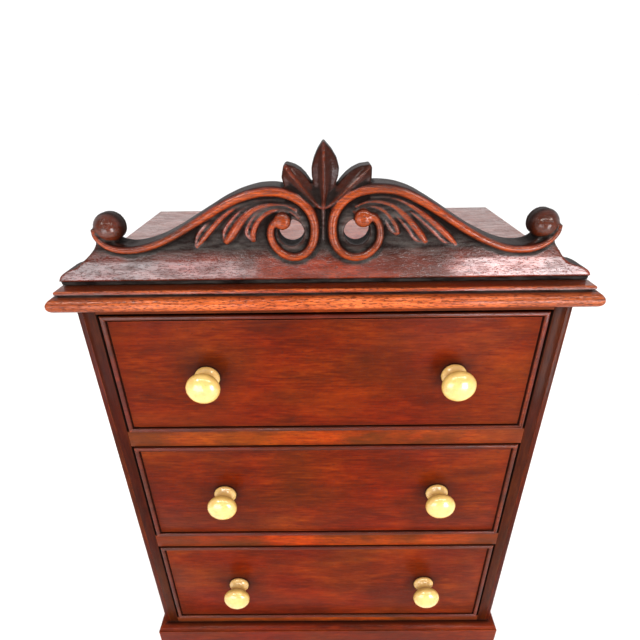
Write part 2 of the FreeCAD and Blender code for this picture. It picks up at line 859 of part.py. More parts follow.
def make_cockbead(name, half, height, place):
    """Four mitred strips let into the edge of a drawer front."""
    bead = size("bead_width")
    low, high = as_size(0), height
    plans = {
        "bottom": [(-half, low), (half, low), (half - bead, low + bead), (-half + bead, low + bead)],
        "right": [(half, low), (half, high), (half - bead, high - bead), (half - bead, low + bead)],
        "top": [(half, high), (-half, high), (-half + bead, high - bead), (half - bead, high - bead)],
        "left": [(-half, high), (-half, low), (-half + bead, low + bead), (-half + bead, high - bead)],
    }
    flat = {"bottom": True, "top": True, "left": False, "right": False}
    strips = []
    for word, plan in plans.items():
        along_x = flat[word]

        def is_long(edge, along_x=along_x):
            a, b = edge.Vertexes[0].Point, edge.Vertexes[-1].Point
            return abs(a.z - b.z) < 1e-6 if along_x else abs(a.x - b.x) < 1e-6

        strips.append(make_bead_strip(f"{name}_{word}", plan, place, is_long))
    return strips


def make_drawer(level, floor_z, opening):
    """One drawer: dovetailed box, grooved-in bottom, cockbead and two knobs."""
    half = inner - size("side_gap")
    base_z = floor_z + size("running_gap")
    height = opening - size("top_gap") - size("running_gap")
    side_height = height - size("drawer_side_drop")
    thick = size("drawer_side_thickness")
    front_back_y = front_y + size("front_thickness")
    rear_y = panel_y - size("drawer_rear_gap")
    bottom_z = base_z + size("drawer_bottom_lift")
    groove = size("groove_depth")

    bottom_x = (-half + thick - groove, half - thick + groove)
    bottom_y = (front_back_y - groove, rear_y)
    bottom_top = bottom_z + size("drawer_bottom_thickness")
    bottom_blank = block(f"{level}_bottom_blank", bottom_x, bottom_y, (bottom_z, bottom_top))
    board_y = rear_y - size("drawer_back_inset") - size("drawer_back_thickness")
    board_z = (bottom_top, base_z + side_height - size("drawer_back_drop"))
    board_span = (board_y, board_y + size("drawer_back_thickness"))
    back_blank = block(f"{level}_drawer_back_blank", bottom_x, board_span, board_z)

    pins = []
    pin_y = board_y + size("drawer_back_thickness") / 2
    pin_sizes = (size("pin_radius"), size("pin_length"))
    for i in range(PINS_PER_DRAWER):
        x = (half - size("pin_inset")) * (i - (PINS_PER_DRAWER - 1) / 2)
        pins.append(nail(f"{level}_pin_{i + 1}", x, pin_y, bottom_z, Vector(0, 0, 1), *pin_sizes))
    node(group(f"{level}_drawer_pins", pins), f"{level}_drawer_pins")
    node(cut_by(f"{level}_drawer_bottom", bottom_blank, pins), f"{level}_drawer_bottom")
    node(cut_by(f"{level}_drawer_back", back_blank, pins), f"{level}_drawer_back")

    sides = []
    for side, word in ((LEFT, "left"), (RIGHT, "right")):
        x = on_side(side, half - thick, half)
        name = f"{level}_drawer_{word}_side"
        board = block(f"{name}_board", x, (front_back_y, rear_y), (base_z, base_z + side_height))
        pitch = (side_height - size("bead_width")) / TAILS_PER_CORNER
        tails = []
        for i in range(TAILS_PER_CORNER):
            middle = size("bead_width") + pitch * (i + 0.5)
            tail = doc.addObject("Part::Wedge", f"{name}_tail_{i + 1}")
            bind(tail, "Xmin", 0)
            bind(tail, "X2min", 0)
            bind(tail, "Xmax", thick)
            bind(tail, "X2max", thick)
            bind(tail, "Ymin", 0)
            bind(tail, "Ymax", size("tail_length"))
            bind(tail, "Zmin", middle - pitch / 4 - size("tail_flare"))
            bind(tail, "Zmax", middle + pitch / 4 + size("tail_flare"))
            bind(tail, "Z2min", middle - pitch / 4)
            bind(tail, "Z2max", middle + pitch / 4)
            put(tail, x[0], front_back_y - size("tail_length"), base_z)
            tails.append(tail)
        whole = fuse(f"{name}_whole", [board, *tails])
        made = cut_by(name, whole, [bottom_blank, back_blank])
        sides.append(node(made, name))

    bead_place = (as_size(0), front_y - size("bead_proud"), base_z)
    strips = make_cockbead(f"{level}_bead", half, height, bead_place)
    node(group(f"{level}_drawer_cockbead", strips), f"{level}_drawer_cockbead")

    knob_z = floor_z + opening / 2
    knobs = [
        make_knob(f"{level}_drawer_left_knob", -size("left_knob_place"), knob_z),
        make_knob(f"{level}_drawer_right_knob", size("right_knob_place"), knob_z),
    ]
    for knob in knobs:
        node(knob, knob.Name)

    front_z = (base_z, base_z + height)
    front_blank = block(f"{level}_front_blank", (-half, half), (front_y, front_back_y), front_z)
    mates = [*sides, bottom_blank, *strips, *knobs]
    node(cut_by(f"{level}_drawer_front", front_blank, mates), f"{level}_drawer_front")


make_drawer("upper", upper_z, size("upper_opening"))
make_drawer("middle", middle_z, size("middle_opening"))
make_drawer("lower", lower_z, size("lower_opening"))

# ---- check and write ----

doc.recompute()
failed = [o.Name for o in doc.Objects if {"Invalid", "Error"} & set(o.State)]
if failed:
    raise RuntimeError(f"these objects failed: {failed}")
os.makedirs("parts", exist_ok=True)
for name, thing in nodes.items():
    shape = thing.Shape
    if shape.isNull() or not shape.isValid() or not shape.Solids:
        raise RuntimeError(f"{name} has no valid solid")
    shape.exportStep(f"parts/{name}.step")
print(f"wrote {len(nodes)} sub-parts")
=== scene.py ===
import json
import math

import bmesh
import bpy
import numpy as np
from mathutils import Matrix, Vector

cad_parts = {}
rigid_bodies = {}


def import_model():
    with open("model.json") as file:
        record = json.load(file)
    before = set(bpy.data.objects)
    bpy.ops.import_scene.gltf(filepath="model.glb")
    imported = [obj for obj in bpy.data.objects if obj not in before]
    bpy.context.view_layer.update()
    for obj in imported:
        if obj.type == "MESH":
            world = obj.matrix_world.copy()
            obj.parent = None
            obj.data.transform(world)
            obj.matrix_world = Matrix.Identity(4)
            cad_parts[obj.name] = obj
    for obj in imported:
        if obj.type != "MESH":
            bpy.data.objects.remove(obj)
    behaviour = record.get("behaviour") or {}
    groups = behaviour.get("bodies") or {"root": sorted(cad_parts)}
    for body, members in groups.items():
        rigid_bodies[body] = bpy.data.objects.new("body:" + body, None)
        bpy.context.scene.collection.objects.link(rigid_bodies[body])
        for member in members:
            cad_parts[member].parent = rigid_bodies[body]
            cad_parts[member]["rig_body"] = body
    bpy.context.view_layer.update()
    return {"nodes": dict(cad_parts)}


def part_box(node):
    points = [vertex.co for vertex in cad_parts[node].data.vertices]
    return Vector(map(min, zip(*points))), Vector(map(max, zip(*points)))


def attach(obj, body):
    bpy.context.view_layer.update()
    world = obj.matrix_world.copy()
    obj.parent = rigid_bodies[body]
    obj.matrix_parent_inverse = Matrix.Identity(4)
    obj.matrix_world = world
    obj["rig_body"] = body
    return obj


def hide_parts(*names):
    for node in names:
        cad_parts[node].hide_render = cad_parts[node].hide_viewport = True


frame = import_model()

# %% [markdown]
# # A miniature mahogany chest of drawers
# The real chest is about 30 cm wide and 42 cm high: a polished mahogany case, three cockbeaded drawers with
# turned bone knobs, and a carved gallery along the front edge of the top. The frame we loaded has every
# board in its place. What it lacks is what makes old furniture look like itself: soft arrises, carving,
# figured timber, dirt in the quirks. This lesson adds those, piece by piece. All lengths are in metres, and
# MM makes a millimetre of them.

# %% [markdown]
# ## The places that matter
# The drawer faces are flush with the case, so one number, FACE_Y, places the front. The gallery stands on
# the top board, so TOP_Z is its floor. Both are read from the boards, which keeps the looks and the frame
# together.

# %% Key places, read from the frame
MM = 0.001
FACE_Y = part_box("left_stile")[0].y
TOP_LOW, TOP_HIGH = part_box("top_board")
TOP_Z = TOP_HIGH.z
HALF_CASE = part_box("right_side")[1].x
print(f"faces at y = {FACE_Y:.4f}, top of the board at z = {TOP_Z:.4f}, half the case {HALF_CASE:.4f}")


# %% [markdown]
# ## Small helpers
# Blender's operators act on everything that is selected, so each step starts by letting go of everything
# and taking hold of one piece. The other helpers open and close edit mode round a few steps, pick parts of
# a mesh by their place, apply a modifier, and settle a finished piece's place into its mesh.


# %% Take hold of one piece, work on its mesh, and finish it
def take(*pieces):
    """Selects only these pieces and makes the first one active."""
    bpy.ops.object.select_all(action="DESELECT")
    for piece in pieces:
        piece.select_set(True)
    bpy.context.view_layer.objects.active = pieces[0]


def edit(piece, *steps):
    """Runs the steps in edit mode with the whole mesh selected."""
    take(piece)
    bpy.ops.object.mode_set(mode="EDIT")
    bpy.ops.mesh.select_all(action="SELECT")
    for step in steps:
        step()
    bpy.ops.object.mode_set(mode="OBJECT")


def merge_points(distance):
    """A step for edit: joins points that are no further apart than this."""
    return lambda: bpy.ops.mesh.remove_doubles(threshold=distance)


def face_out():
    """A step for edit: turns the selected faces outwards."""
    bpy.ops.mesh.normals_make_consistent(inside=False)


def pick(piece, kind, test):
    """In edit mode, selects the faces, edges or verts that pass the test, and counts them."""
    bpy.ops.mesh.select_all(action="DESELECT")
    bpy.ops.mesh.select_mode(type={"faces": "FACE", "edges": "EDGE", "verts": "VERT"}[kind])
    mesh = bmesh.from_edit_mesh(piece.data)
    chosen = [part for part in getattr(mesh, kind) if test(part)]
    for part in chosen:
        part.select = True
    mesh.select_flush_mode()
    bmesh.update_edit_mesh(piece.data)
    return len(chosen)


def modify(piece, kind, **settings):
    """Adds a modifier with these settings and applies it."""
    take(piece)
    modifier = piece.modifiers.new(kind.title(), kind)
    for key, value in settings.items():
        setattr(modifier, key, value)
    bpy.ops.object.modifier_apply(modifier=modifier.name)
    return piece


def smooth_below(piece, degrees):
    """Shades the piece smooth, with a crisp edge wherever two faces meet at more than this angle."""
    take(piece)
    bpy.ops.object.shade_smooth_by_angle(angle=math.radians(degrees))


def settle(piece):
    """Puts a turned or moved object's place into its mesh, so the object itself sits at the origin."""
    take(piece)
    bpy.ops.object.transform_apply(location=True, rotation=True, scale=True)
    return piece


# %% [markdown]
# ## Mahogany
# The case is polished Cuban-type mahogany: red-brown, soft figure along the grain, short dark pores, and a
# thin hard skin of French polish. We could paint a picture of wood, but nodes give a grain that follows
# each board and never repeats. Six stretched noises do it: drift of hue, stain, broad figure, flecks, fine
# streaks and pores. Three more things make it old. Ambient Occlusion nodes find corners: dirt gathers in
# the tight ones, old polish darkens in the wide ones, and both darkenings are also painted shade, laid where
# corners, gaps and overhangs fall dark. Hands wear the arrises back to orange, which a Bevel node's normal
# finds. A carved or moulded piece is too subtle for that, so it brings its own stored values for its crests,
# its hollows, and the places that are smoked or painted in shade.


# %% Node helpers
class Recipe:
    """A new material, or the room's light, and the few node tricks that every finish here is made from."""

    def __init__(self, name, kind="materials", shader="Principled BSDF"):
        self.block = getattr(bpy.data, kind).new(name)
        self.block.use_nodes = True
        self.tree = self.block.node_tree
        self.sockets = self.tree.nodes[shader].inputs

    def add(self, kind, **values):
        """A new node, with its sockets and settings set by name."""
        made = self.tree.nodes.new(kind)
        for key, value in values.items():
            if key in made.inputs:
                made.inputs[key].default_value = value
            else:
                setattr(made, key, value)
        return made

    def feed(self, value, socket):
        """Gives a socket a number, a colour or another node's output."""
        if isinstance(value, (int, float)):
            socket.default_value = value
        elif isinstance(value, tuple):
            socket.default_value = (*value, 1.0)
        else:
            self.tree.links.new(value, socket)

    def maths(self, how, first, second=0.0):
        made = self.add("ShaderNodeMath", operation=how)
        self.feed(first, made.inputs[0])
        self.feed(second, made.inputs[1])
        return made.outputs[0]

    def times(self, first, second):
        return self.maths("MULTIPLY", first, second)

    def blend(self, amount, first, second, how="MIX"):
        """Mixes two colours, each a tuple or another node's output."""
        mix = self.add("ShaderNodeMix", data_type="RGBA", blend_type=how, clamp_factor=True)
        for value, socket in ((amount, mix.inputs[0]), (first, mix.inputs[6]), (second, mix.inputs[7])):
            self.feed(value, socket)
        return mix.outputs[2]

    def ramp(self, source, *stops):
        """A smooth ramp from grey or coloured stops: (place, grey) or (place, (r, g, b))."""
        made = self.add("ShaderNodeValToRGB")
        self.feed(source, made.inputs[0])
        band = made.color_ramp
        while len(band.elements) < len(stops):
            band.elements.new(0.5)
        for element, (place, colour) in zip(band.elements, stops):
            element.position = place
            element.color = (*colour, 1) if isinstance(colour, tuple) else (colour, colour, colour, 1)
        return made.outputs[0]

    def noise(self, across, along, grain, offset=0.0, detail=4.0, roughness=0.55):
        """Noise whose cells are across by along in size, long in the grain's direction ("X", "Y" or "Z")."""
        scale = [1.0, 1.0, 1.0]
        scale["XYZ".index(grain)] = across / along
        mapping = self.add("ShaderNodeMapping", Scale=scale, Location=(offset, offset * 0.7, offset * 1.3))
        self.feed(self.add("ShaderNodeTexCoord").outputs["Object"], mapping.inputs["Vector"])
        noise = self.add("ShaderNodeTexNoise", Scale=1.0 / across, Detail=detail, Roughness=roughness)
        self.feed(mapping.outputs[0], noise.inputs["Vector"])
        return noise.outputs["Fac"]

    def stored(self, label):
        """A value that the mesh stores at each point."""
        return self.add("ShaderNodeAttribute", attribute_name=label).outputs["Fac"]

    def nook(self, reach, samples, *stops):
        """1 where other surfaces stand within reach, as the stops say, and 0 in the open."""
        made = self.add("ShaderNodeAmbientOcclusion", samples=samples, Distance=reach)
        return self.ramp(made.outputs["AO"], *stops)

    def bump(self, height, strength, depth, *sockets):
        """Turns a height into a bumpy normal for the named sockets."""
        made = self.add("ShaderNodeBump", Strength=strength, Distance=depth)
        self.feed(height, made.inputs["Height"])
        for socket in sockets:
            self.feed(made.outputs[0], self.sockets[socket])


# %% The mahogany recipe
PORE = (0.022, 0.006, 0.003)
PATINA_AND_SHADE = (0.030, 0.0070, 0.0034)
SMOKE_AND_SHADE = (0.016, 0.0046, 0.0030)
SOOT_AND_SHADE = (0.0055, 0.0032, 0.0026)
END_DARKENING = (0.060, 0.0125, 0.0042)


def mahogany(name, grain, tone, offset, marked=False, gloss=0.12, worn=0.5, blotch=0.45, shine=1.4,
             warmth=1.0, open_pores=0.60, patina_and_shade=0.6, rubbed=(0.44, 0.066, 0.010), dark_ends=0.0):
    """Polished mahogany for one board.

    tone lightens the wood and warmth turns it from red to orange. blotch sets how patchy the stain is,
    patina how dark the old polish has gone where cloths never reach, together with the painted shade in wide
    corners and under overhangs, gloss and shine the amount and the brightness of the polish, open_pores where
    the pores begin to show, and rubbed the colour of worn arrises. dark_ends darkens a long board towards its
    ends. A marked piece stores its own crests and hollows, and where it is smoked or painted in shade.
    """
    mix = Recipe(name)
    figure = mix.noise(0.013, 0.060, grain, offset, 5.0, 0.6)
    fleck = mix.noise(0.0027, 0.0120, grain, offset + 31.0, 3.0, 0.6)
    streak = mix.noise(0.0011, 0.0150, grain, offset + 3.0, 4.0, 0.65)
    pores = mix.noise(0.00055, 0.0030, grain, offset + 7.0, 2.0, 0.5)
    patches = mix.noise(0.026, 0.044, grain, offset + 11.0, 4.0, 0.55)
    drift = mix.noise(0.050, 0.080, grain, offset + 41.0, 2.0, 0.5)

    # the bare wood: figure, flecks and streaks, then drift of hue, stain and pores over them
    def shade(r, g, b):
        return (r * tone, g * tone * warmth, b * tone)

    dark = shade(0.080, 0.0052, 0.0008)
    middle = shade(0.215, 0.0130, 0.0010)
    light = shade(0.42, 0.046, 0.0030)
    colour = mix.ramp(figure, (0.30, dark), (0.50, middle), (0.72, light))
    colour = mix.blend(0.38, colour, mix.ramp(fleck, (0.36, dark), (0.52, middle), (0.68, light)))
    colour = mix.blend(0.26, colour, mix.ramp(streak, (0.34, dark), (0.66, light)))
    hue = mix.ramp(drift, (0.38, (0.96, 0.55, 0.55)), (0.62, (1.0, 1.0, 1.0)))
    colour = mix.blend(1.0, colour, hue, "MULTIPLY")
    stain = mix.ramp(patches, (0.36, 1.0), (0.60, 0.0))
    colour = mix.blend(mix.times(stain, blotch), colour, shade(0.056, 0.0070, 0.0018))
    pore_mask = mix.ramp(pores, (open_pores, 0.0), (open_pores + 0.07, 1.0))
    colour = mix.blend(mix.times(pore_mask, 0.5), colour, PORE)

    # hands rub the stain off whatever stands proud, and dirt stays wherever they can't reach; the same dark
    # colour is also painted shade in corners, quirks, gaps and hollows
    if marked:
        crest, hollow, smoked_and_shaded = mix.stored("crest"), mix.stored("hollow"), mix.stored("smoked_and_shaded")
        dust_and_shade = mix.ramp(fleck, (0.35, (0.0050, 0.0040, 0.0036)), (0.68, (0.038, 0.034, 0.031)))
        # smoke and painted shade: where the stored mask covers deep cuts and the side walls of rolls, dust
        # and wood are blackened as if in shadow
        dust_and_shade = mix.blend(smoked_and_shaded, dust_and_shade, SOOT_AND_SHADE)
        colour = mix.blend(smoked_and_shaded, colour, SMOKE_AND_SHADE)
    else:
        soft = mix.add("ShaderNodeBevel", samples=4, Radius=0.0011)
        turned = mix.add("ShaderNodeVectorMath", operation="DOT_PRODUCT")
        mix.feed(soft.outputs[0], turned.inputs[0])
        mix.feed(mix.add("ShaderNodeNewGeometry").outputs["Normal"], turned.inputs[1])
        crest = mix.ramp(turned.outputs["Value"], (0.80, 1.0), (0.985, 0.0))
        # dirt and painted shade: the tight Ambient Occlusion blackens quirks, gaps and inside corners, where
        # shade falls
        hollow = mix.nook(0.0045, 4, (0.30, 1.0), (0.86, 0.0))
        crest = mix.times(crest, mix.maths("SUBTRACT", 1.0, hollow))
        dust_and_shade = (0.0090, 0.0055, 0.0045)
    # patina and painted shade: the wide Ambient Occlusion darkens old polish in wide corners and also paints
    # the shade under the top's moulding, round the knobs and along the beads
    if patina_and_shade:
        colour = mix.blend(mix.times(mix.nook(0.026, 6, (0.50, 1.0), (0.93, 0.0)), patina_and_shade), colour, PATINA_AND_SHADE)
    uneven = mix.ramp(patches, (0.30, 0.35), (0.60, 1.0))
    grain_lines = mix.ramp(streak, (0.36, (0.42, 0.36, 0.34)), (0.60, (1.0, 1.0, 1.0)))
    bright = mix.blend(1.0, grain_lines, rubbed, "MULTIPLY")
    bright = mix.blend(mix.times(pore_mask, 0.85), bright, (0.08, 0.016, 0.006))
    colour = mix.blend(mix.times(mix.times(crest, uneven), worn), colour, bright)
    # darker towards both ends of a long board
    if dark_ends:
        place = mix.add("ShaderNodeSeparateXYZ")
        mix.feed(mix.add("ShaderNodeTexCoord").outputs["Object"], place.inputs[0])
        near_end = mix.ramp(mix.maths("ABSOLUTE", place.outputs["X"]), (0.055, 0.0), (0.130, 1.0))
        colour = mix.blend(mix.times(near_end, dark_ends), colour, END_DARKENING)
    mix.feed(mix.blend(mix.times(hollow, 0.96), colour, dust_and_shade), mix.sockets["Base Color"])

    # the polish: thin where it is rubbed, smoked or painted in shade, gone where it is dirty or painted in
    # shade, broken by scuffs
    dull = mix.ramp(patches, (0.3, 0.34), (0.7, 0.46))
    mix.feed(mix.maths("ADD", dull, mix.times(hollow, 0.3)), mix.sockets["Roughness"])
    polish = mix.maths("SUBTRACT", 1.0, mix.times(hollow, 0.9))
    if marked:
        thin = mix.maths("MAXIMUM", mix.times(smoked_and_shaded, 0.92), mix.times(crest, 0.62))
        polish = mix.times(polish, mix.maths("SUBTRACT", 1.0, thin))
        polish = mix.times(polish, mix.ramp(fleck, (0.36, 0.5), (0.60, 1.0)))
    mix.feed(mix.times(polish, gloss), mix.sockets["Coat Weight"])
    mix.sockets["Coat Roughness"].default_value = 0.13
    mix.sockets["Coat IOR"].default_value = shine
    mix.sockets["Specular IOR Level"].default_value = 0.02

    # the surface: soft ripples, sunk pores, raised streaks, and tool marks in the hollows of a carving
    ripple = mix.noise(0.007, 0.018, grain, offset + 17.0, 3.0, 0.5)
    height = mix.maths("ADD", mix.times(ripple, 0.55), mix.times(pore_mask, -0.16))
    height = mix.maths("ADD", height, mix.times(streak, 0.10))
    if marked:
        tool = mix.noise(0.0011, 0.0011, grain, offset + 23.0, 2.0, 0.5)
        height = mix.maths("ADD", height, mix.times(mix.times(tool, hollow), 0.9))
    mix.bump(height, 0.42, 0.0007, "Normal", "Coat Normal")
    return mix.block


# %% [markdown]
# ## Bone, lining wood and metal
# The knobs are turned bone: warm cream, glossy from handling, with tiny dark pores and a pinker tone where
# the light goes in. The drawer linings are plain unpolished timber, browned by age. Nails, pins and screws
# are dull metal.


# %% Bone for the knobs
def bone(name):
    mix = Recipe(name)
    clouds = mix.noise(0.006, 0.006, "X", 2.0, 3.0)
    fibres = mix.noise(0.0006, 0.006, "Y", 5.0, 2.0)
    pits = mix.ramp(mix.noise(0.0007, 0.0010, "Z", 9.0, 1.0), (0.71, 0.0), (0.77, 1.0))
    colour = mix.ramp(clouds, (0.3, (0.44, 0.265, 0.068)), (0.7, (0.56, 0.365, 0.105)))
    fibre_mask = mix.ramp(fibres, (0.52, 0.0), (0.72, 1.0))
    colour = mix.blend(mix.times(fibre_mask, 0.35), colour, (0.56, 0.33, 0.14))
    colour = mix.blend(mix.times(pits, 0.7), colour, (0.20, 0.085, 0.035))
    # grime and painted shade: Ambient Occlusion darkens the waist and where the collar meets the drawer front
    grime_and_shade = mix.nook(0.010, 6, (0.30, 1.0), (0.88, 0.0))
    colour = mix.blend(mix.times(grime_and_shade, 0.75), colour, (0.50, 0.235, 0.110))
    mix.feed(colour, mix.sockets["Base Color"])
    for socket, value in (("Roughness", 0.24), ("Coat Weight", 0.4), ("Coat Roughness", 0.08),
                          ("Subsurface Weight", 0.12), ("Subsurface Radius", (0.003, 0.0018, 0.0009)),
                          ("Subsurface Scale", 1.0)):
        mix.sockets[socket].default_value = value
    mix.bump(mix.maths("SUBTRACT", mix.times(clouds, 0.6), pits), 0.3, 0.0003, "Normal")
    return mix.block


# %% Bare lining wood and dull metal
def lining(name, grain, offset=0.0):
    mix = Recipe(name)
    figure = mix.noise(0.009, 0.12, grain, offset, 5.0)
    streak = mix.noise(0.0010, 0.030, grain, offset + 3.0, 3.0)
    broad = mix.ramp(figure, (0.3, (0.23, 0.115, 0.055)), (0.7, (0.40, 0.225, 0.115)))
    fine = mix.ramp(streak, (0.35, (0.21, 0.105, 0.05)), (0.7, (0.44, 0.26, 0.14)))
    # dirt and painted shade: Ambient Occlusion darkens the inside corners of the linings
    dirt_and_shade = mix.nook(0.006, 4, (0.3, 1.0), (0.9, 0.0))
    colour = mix.blend(mix.times(dirt_and_shade, 0.6), mix.blend(0.45, broad, fine), (0.07, 0.04, 0.025))
    mix.feed(colour, mix.sockets["Base Color"])
    mix.feed(mix.ramp(streak, (0.3, 0.52), (0.7, 0.7)), mix.sockets["Roughness"])
    mix.sockets["Specular IOR Level"].default_value = 0.3
    mix.bump(streak, 0.35, 0.0004, "Normal")
    return mix.block


def dull_metal(name, dark, light):
    mix = Recipe(name)
    spots = mix.noise(0.0015, 0.0015, "X", 1.0, 4.0)
    mix.feed(mix.ramp(spots, (0.35, dark), (0.65, light)), mix.sockets["Base Color"])
    mix.feed(mix.ramp(spots, (0.35, 0.6), (0.65, 0.38)), mix.sockets["Roughness"])
    mix.sockets["Metallic"].default_value = 1.0
    mix.bump(spots, 0.2, 0.0002, "Normal")
    return mix.block


# %% Mix the finishes
FINISH = {
    "case_upright": mahogany("mahogany_upright", "Z", 0.15, 1.3, gloss=0.05, worn=0.35, blotch=0.5,
                             warmth=1.9, patina_and_shade=0.5),
    "case_rail": mahogany("mahogany_rail", "X", 0.95, 4.1, gloss=0.08, worn=0.6, blotch=0.85, warmth=1.9,
                          dark_ends=0.7),
    "case_side": mahogany("mahogany_side", "Z", 0.21, 17.3, gloss=0.1, worn=0.35, blotch=0.5, warmth=1.6,
                          patina_and_shade=0.5),
    "top": mahogany("mahogany_top", "X", 0.9, 8.7, marked=True, gloss=0.62, worn=1.0, blotch=0.2, shine=1.5,
                    warmth=1.6, open_pores=0.52, patina_and_shade=0.9, rubbed=(0.56, 0.128, 0.032), dark_ends=0.5),
    "carving": mahogany("mahogany_carving", "X", 0.58, 2.2, marked=True, gloss=1.0, worn=1.0, blotch=0.95,
                        shine=1.55, warmth=1.3, open_pores=0.55, patina_and_shade=0.0, rubbed=(0.27, 0.040, 0.003)),
    "bead": mahogany("mahogany_bead", "X", 0.30, 9.2, gloss=0.4, blotch=0.6, warmth=1.5, patina_and_shade=0.3),
    "plinth_front": mahogany("mahogany_plinth_front", "X", 0.45, 5.9, worn=0.6, warmth=1.4),
    "plinth_side": mahogany("mahogany_plinth_side", "Y", 0.45, 6.4, worn=0.6, warmth=1.4),
    "lining_x": lining("lining_crosswise", "X", 2.0),
    "lining_y": lining("lining_lengthwise", "Y", 4.0),
    "bone": bone("turned_bone"),
    "brass": dull_metal("dull_brass", (0.16, 0.10, 0.035), (0.45, 0.30, 0.11)),
    "steel": dull_metal("dull_steel", (0.05, 0.045, 0.042), (0.20, 0.19, 0.18)),
}
LEVELS = ("upper", "middle", "lower")
for level, offset in zip(LEVELS, (13.4, 34.4, 46.4)):
    FINISH[f"{level}_front"] = mahogany(f"mahogany_{level}_front", "X", 0.45, offset, gloss=0.055, worn=0.45,
                                        blotch=0.42, warmth=1.4, patina_and_shade=0.8)
print(len(FINISH), "finishes mixed")


# %% Dress a piece
def dress(piece, finish):
    """Gives the whole piece one finish."""
    piece.data.materials.clear()
    piece.data.materials.append(FINISH[finish])


def hand_over(piece, body, slot, finish, *nodes):
    """Dresses the piece, lets it ride on its body, and hides the plain boards that it stands for."""
    dress(piece, finish)
    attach(piece, body)
    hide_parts(*nodes)
    return piece


# %% [markdown]
# ## Boards with eased arrises
# A hand-made board has no razor edge: each arris is eased with a few strokes of fine paper, then rubbed by
# polishing. That thin rounded edge is what catches the light. We could model each board again, but the
# frame's boards already have every joint cut in them. So we copy one, merge its loose triangles into clean
# faces, and bevel its edges.


# %% Copy a board and ease its arrises
def copied_board(node, name):
    """A copy of one of the frame's boards with its own mesh, its triangles merged into clean faces."""
    source = frame["nodes"][node]
    take(source)
    piece = source.copy()
    piece.data = source.data.copy()
    for key in list(piece.keys()):
        del piece[key]
    piece.parent = None
    piece.name = name
    bpy.context.scene.collection.objects.link(piece)
    edit(piece, merge_points(0.002 * MM),
         lambda: bpy.ops.mesh.dissolve_limited(angle_limit=math.radians(0.6)), face_out)
    return piece


def ease(piece, width):
    """Rounds every edge sharper than 40 degrees."""
    modify(piece, "BEVEL", width=width, segments=2, limit_method="ANGLE", angle_limit=math.radians(40))


def eased_board(node, width, finish, slot):
    piece = copied_board(node, f"{node}_eased")
    if width:
        ease(piece, width)
    smooth_below(piece, 32)
    return hand_over(piece, frame["nodes"][node]["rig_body"], slot, finish, node)


def ease_all(names, width, finish, slot="mahogany"):
    made = [eased_board(name, width, finish, slot) for name in names]
    print(f"{finish}: eased {len(made)} boards, {sum(len(p.data.polygons) for p in made)} faces")


# %% Ease the case
CASE_ARRIS = 0.35 * MM
SMALL_ARRIS = 0.3 * MM
ease_all(["left_stile", "right_stile"], CASE_ARRIS, "case_upright")
ease_all(["left_side", "right_side"], CASE_ARRIS, "case_side")
ease_all(["top_rail", "upper_rail", "lower_rail", "bottom_rail"], SMALL_ARRIS, "case_rail")
ease_all(["plinth_front"], SMALL_ARRIS, "plinth_front")
ease_all(["plinth_left", "plinth_right"], SMALL_ARRIS, "plinth_side")
across = ["bottom_board", "back_panel", "corner_blocks", "drawer_stops"]
lengthwise = [name for name in frame["nodes"] if name.endswith(("_runner", "_kicker"))]
ease_all(across, SMALL_ARRIS, "lining_x", "lining_wood")
ease_all(lengthwise, SMALL_ARRIS, "lining_y", "lining_wood")

# %% Ease the drawer boxes
for level in LEVELS:
    sides = [f"{level}_drawer_left_side", f"{level}_drawer_right_side"]
    ease_all(sides, SMALL_ARRIS, "lining_y", "lining_wood")
    ease_all([f"{level}_drawer_back", f"{level}_drawer_bottom"], SMALL_ARRIS, "lining_x", "lining_wood")

# %% Small fastenings keep their frame mesh and only need a finish
for node, finish in (("back_nails", "steel"), ("gallery_screws", "brass"), ("top_dowels", "lining_x"),
                     *((f"{level}_drawer_pins", "steel") for level in LEVELS)):
    dress(frame["nodes"][node], finish)
print("fastenings dressed")


# %% [markdown]
# ## Drawer fronts and their cockbeads
# Each front is let into a thin frame of bead. Where the bead meets the front there is a fine dark quirk,
# cut with a scratch stock, that makes the bead read as a separate rounded strip. We cut it as by hand:
# inset the front's face, then push the narrow ring between back into the wood.


# %% Cut the quirk inside each bead
BEAD_WIDTH = 3.0 * MM
QUIRK_WIDTH, QUIRK_DEPTH = 0.8 * MM, 0.9 * MM


def cut_quirk(node, finish):
    piece = copied_board(node, f"{node}_quirked")
    low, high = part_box(node)

    def on_face(face):
        return face.normal.y < -0.99 and abs(face.calc_center_median().y - FACE_Y) < 0.01 * MM

    def inset_face():
        pick(piece, "faces", on_face)
        bpy.ops.mesh.inset(thickness=QUIRK_WIDTH, use_boundary=True)

    def in_ring(face):
        middle = face.calc_center_median()
        near_side = min(middle.x - low.x, high.x - middle.x, middle.z - low.z, high.z - middle.z)
        return on_face(face) and near_side < BEAD_WIDTH + QUIRK_WIDTH * 0.75

    def push_ring():
        found = pick(piece, "faces", in_ring)
        bpy.ops.mesh.extrude_region_move(TRANSFORM_OT_translate={"value": (0, QUIRK_DEPTH, 0)})
        print(f"{node}: quirk of {found} faces")

    edit(piece, inset_face, push_ring)
    ease(piece, 0.25 * MM)
    smooth_below(piece, 32)
    return hand_over(piece, frame["nodes"][node]["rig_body"], "mahogany", finish, node)


for level in LEVELS:
    cut_quirk(f"{level}_drawer_front", f"{level}_front")
    ease_all([f"{level}_drawer_cockbead"], 0.0, "bead")


# %% [markdown]
# ## The top board
# The board's edge is moulded on the front and both ends: a half-round nosing, a dark quirk, and a small
# eased step. The back edge is plain. A neat way to make such a board is level by level: extrude the
# footprint up to each height of the moulding and scale it about the middle of the back edge. The back stays
# flat and both corners mitre themselves. The polish is worn through along the nosing and the step. The
# quirk between them and the underside of the nosing are darkened, partly dirt and partly painted shade.
# Both follow the height alone, so we store them from two short tables instead of measuring the shape. A
# value for each face's corner, not each point, keeps the wear off the flat top that shares those points.


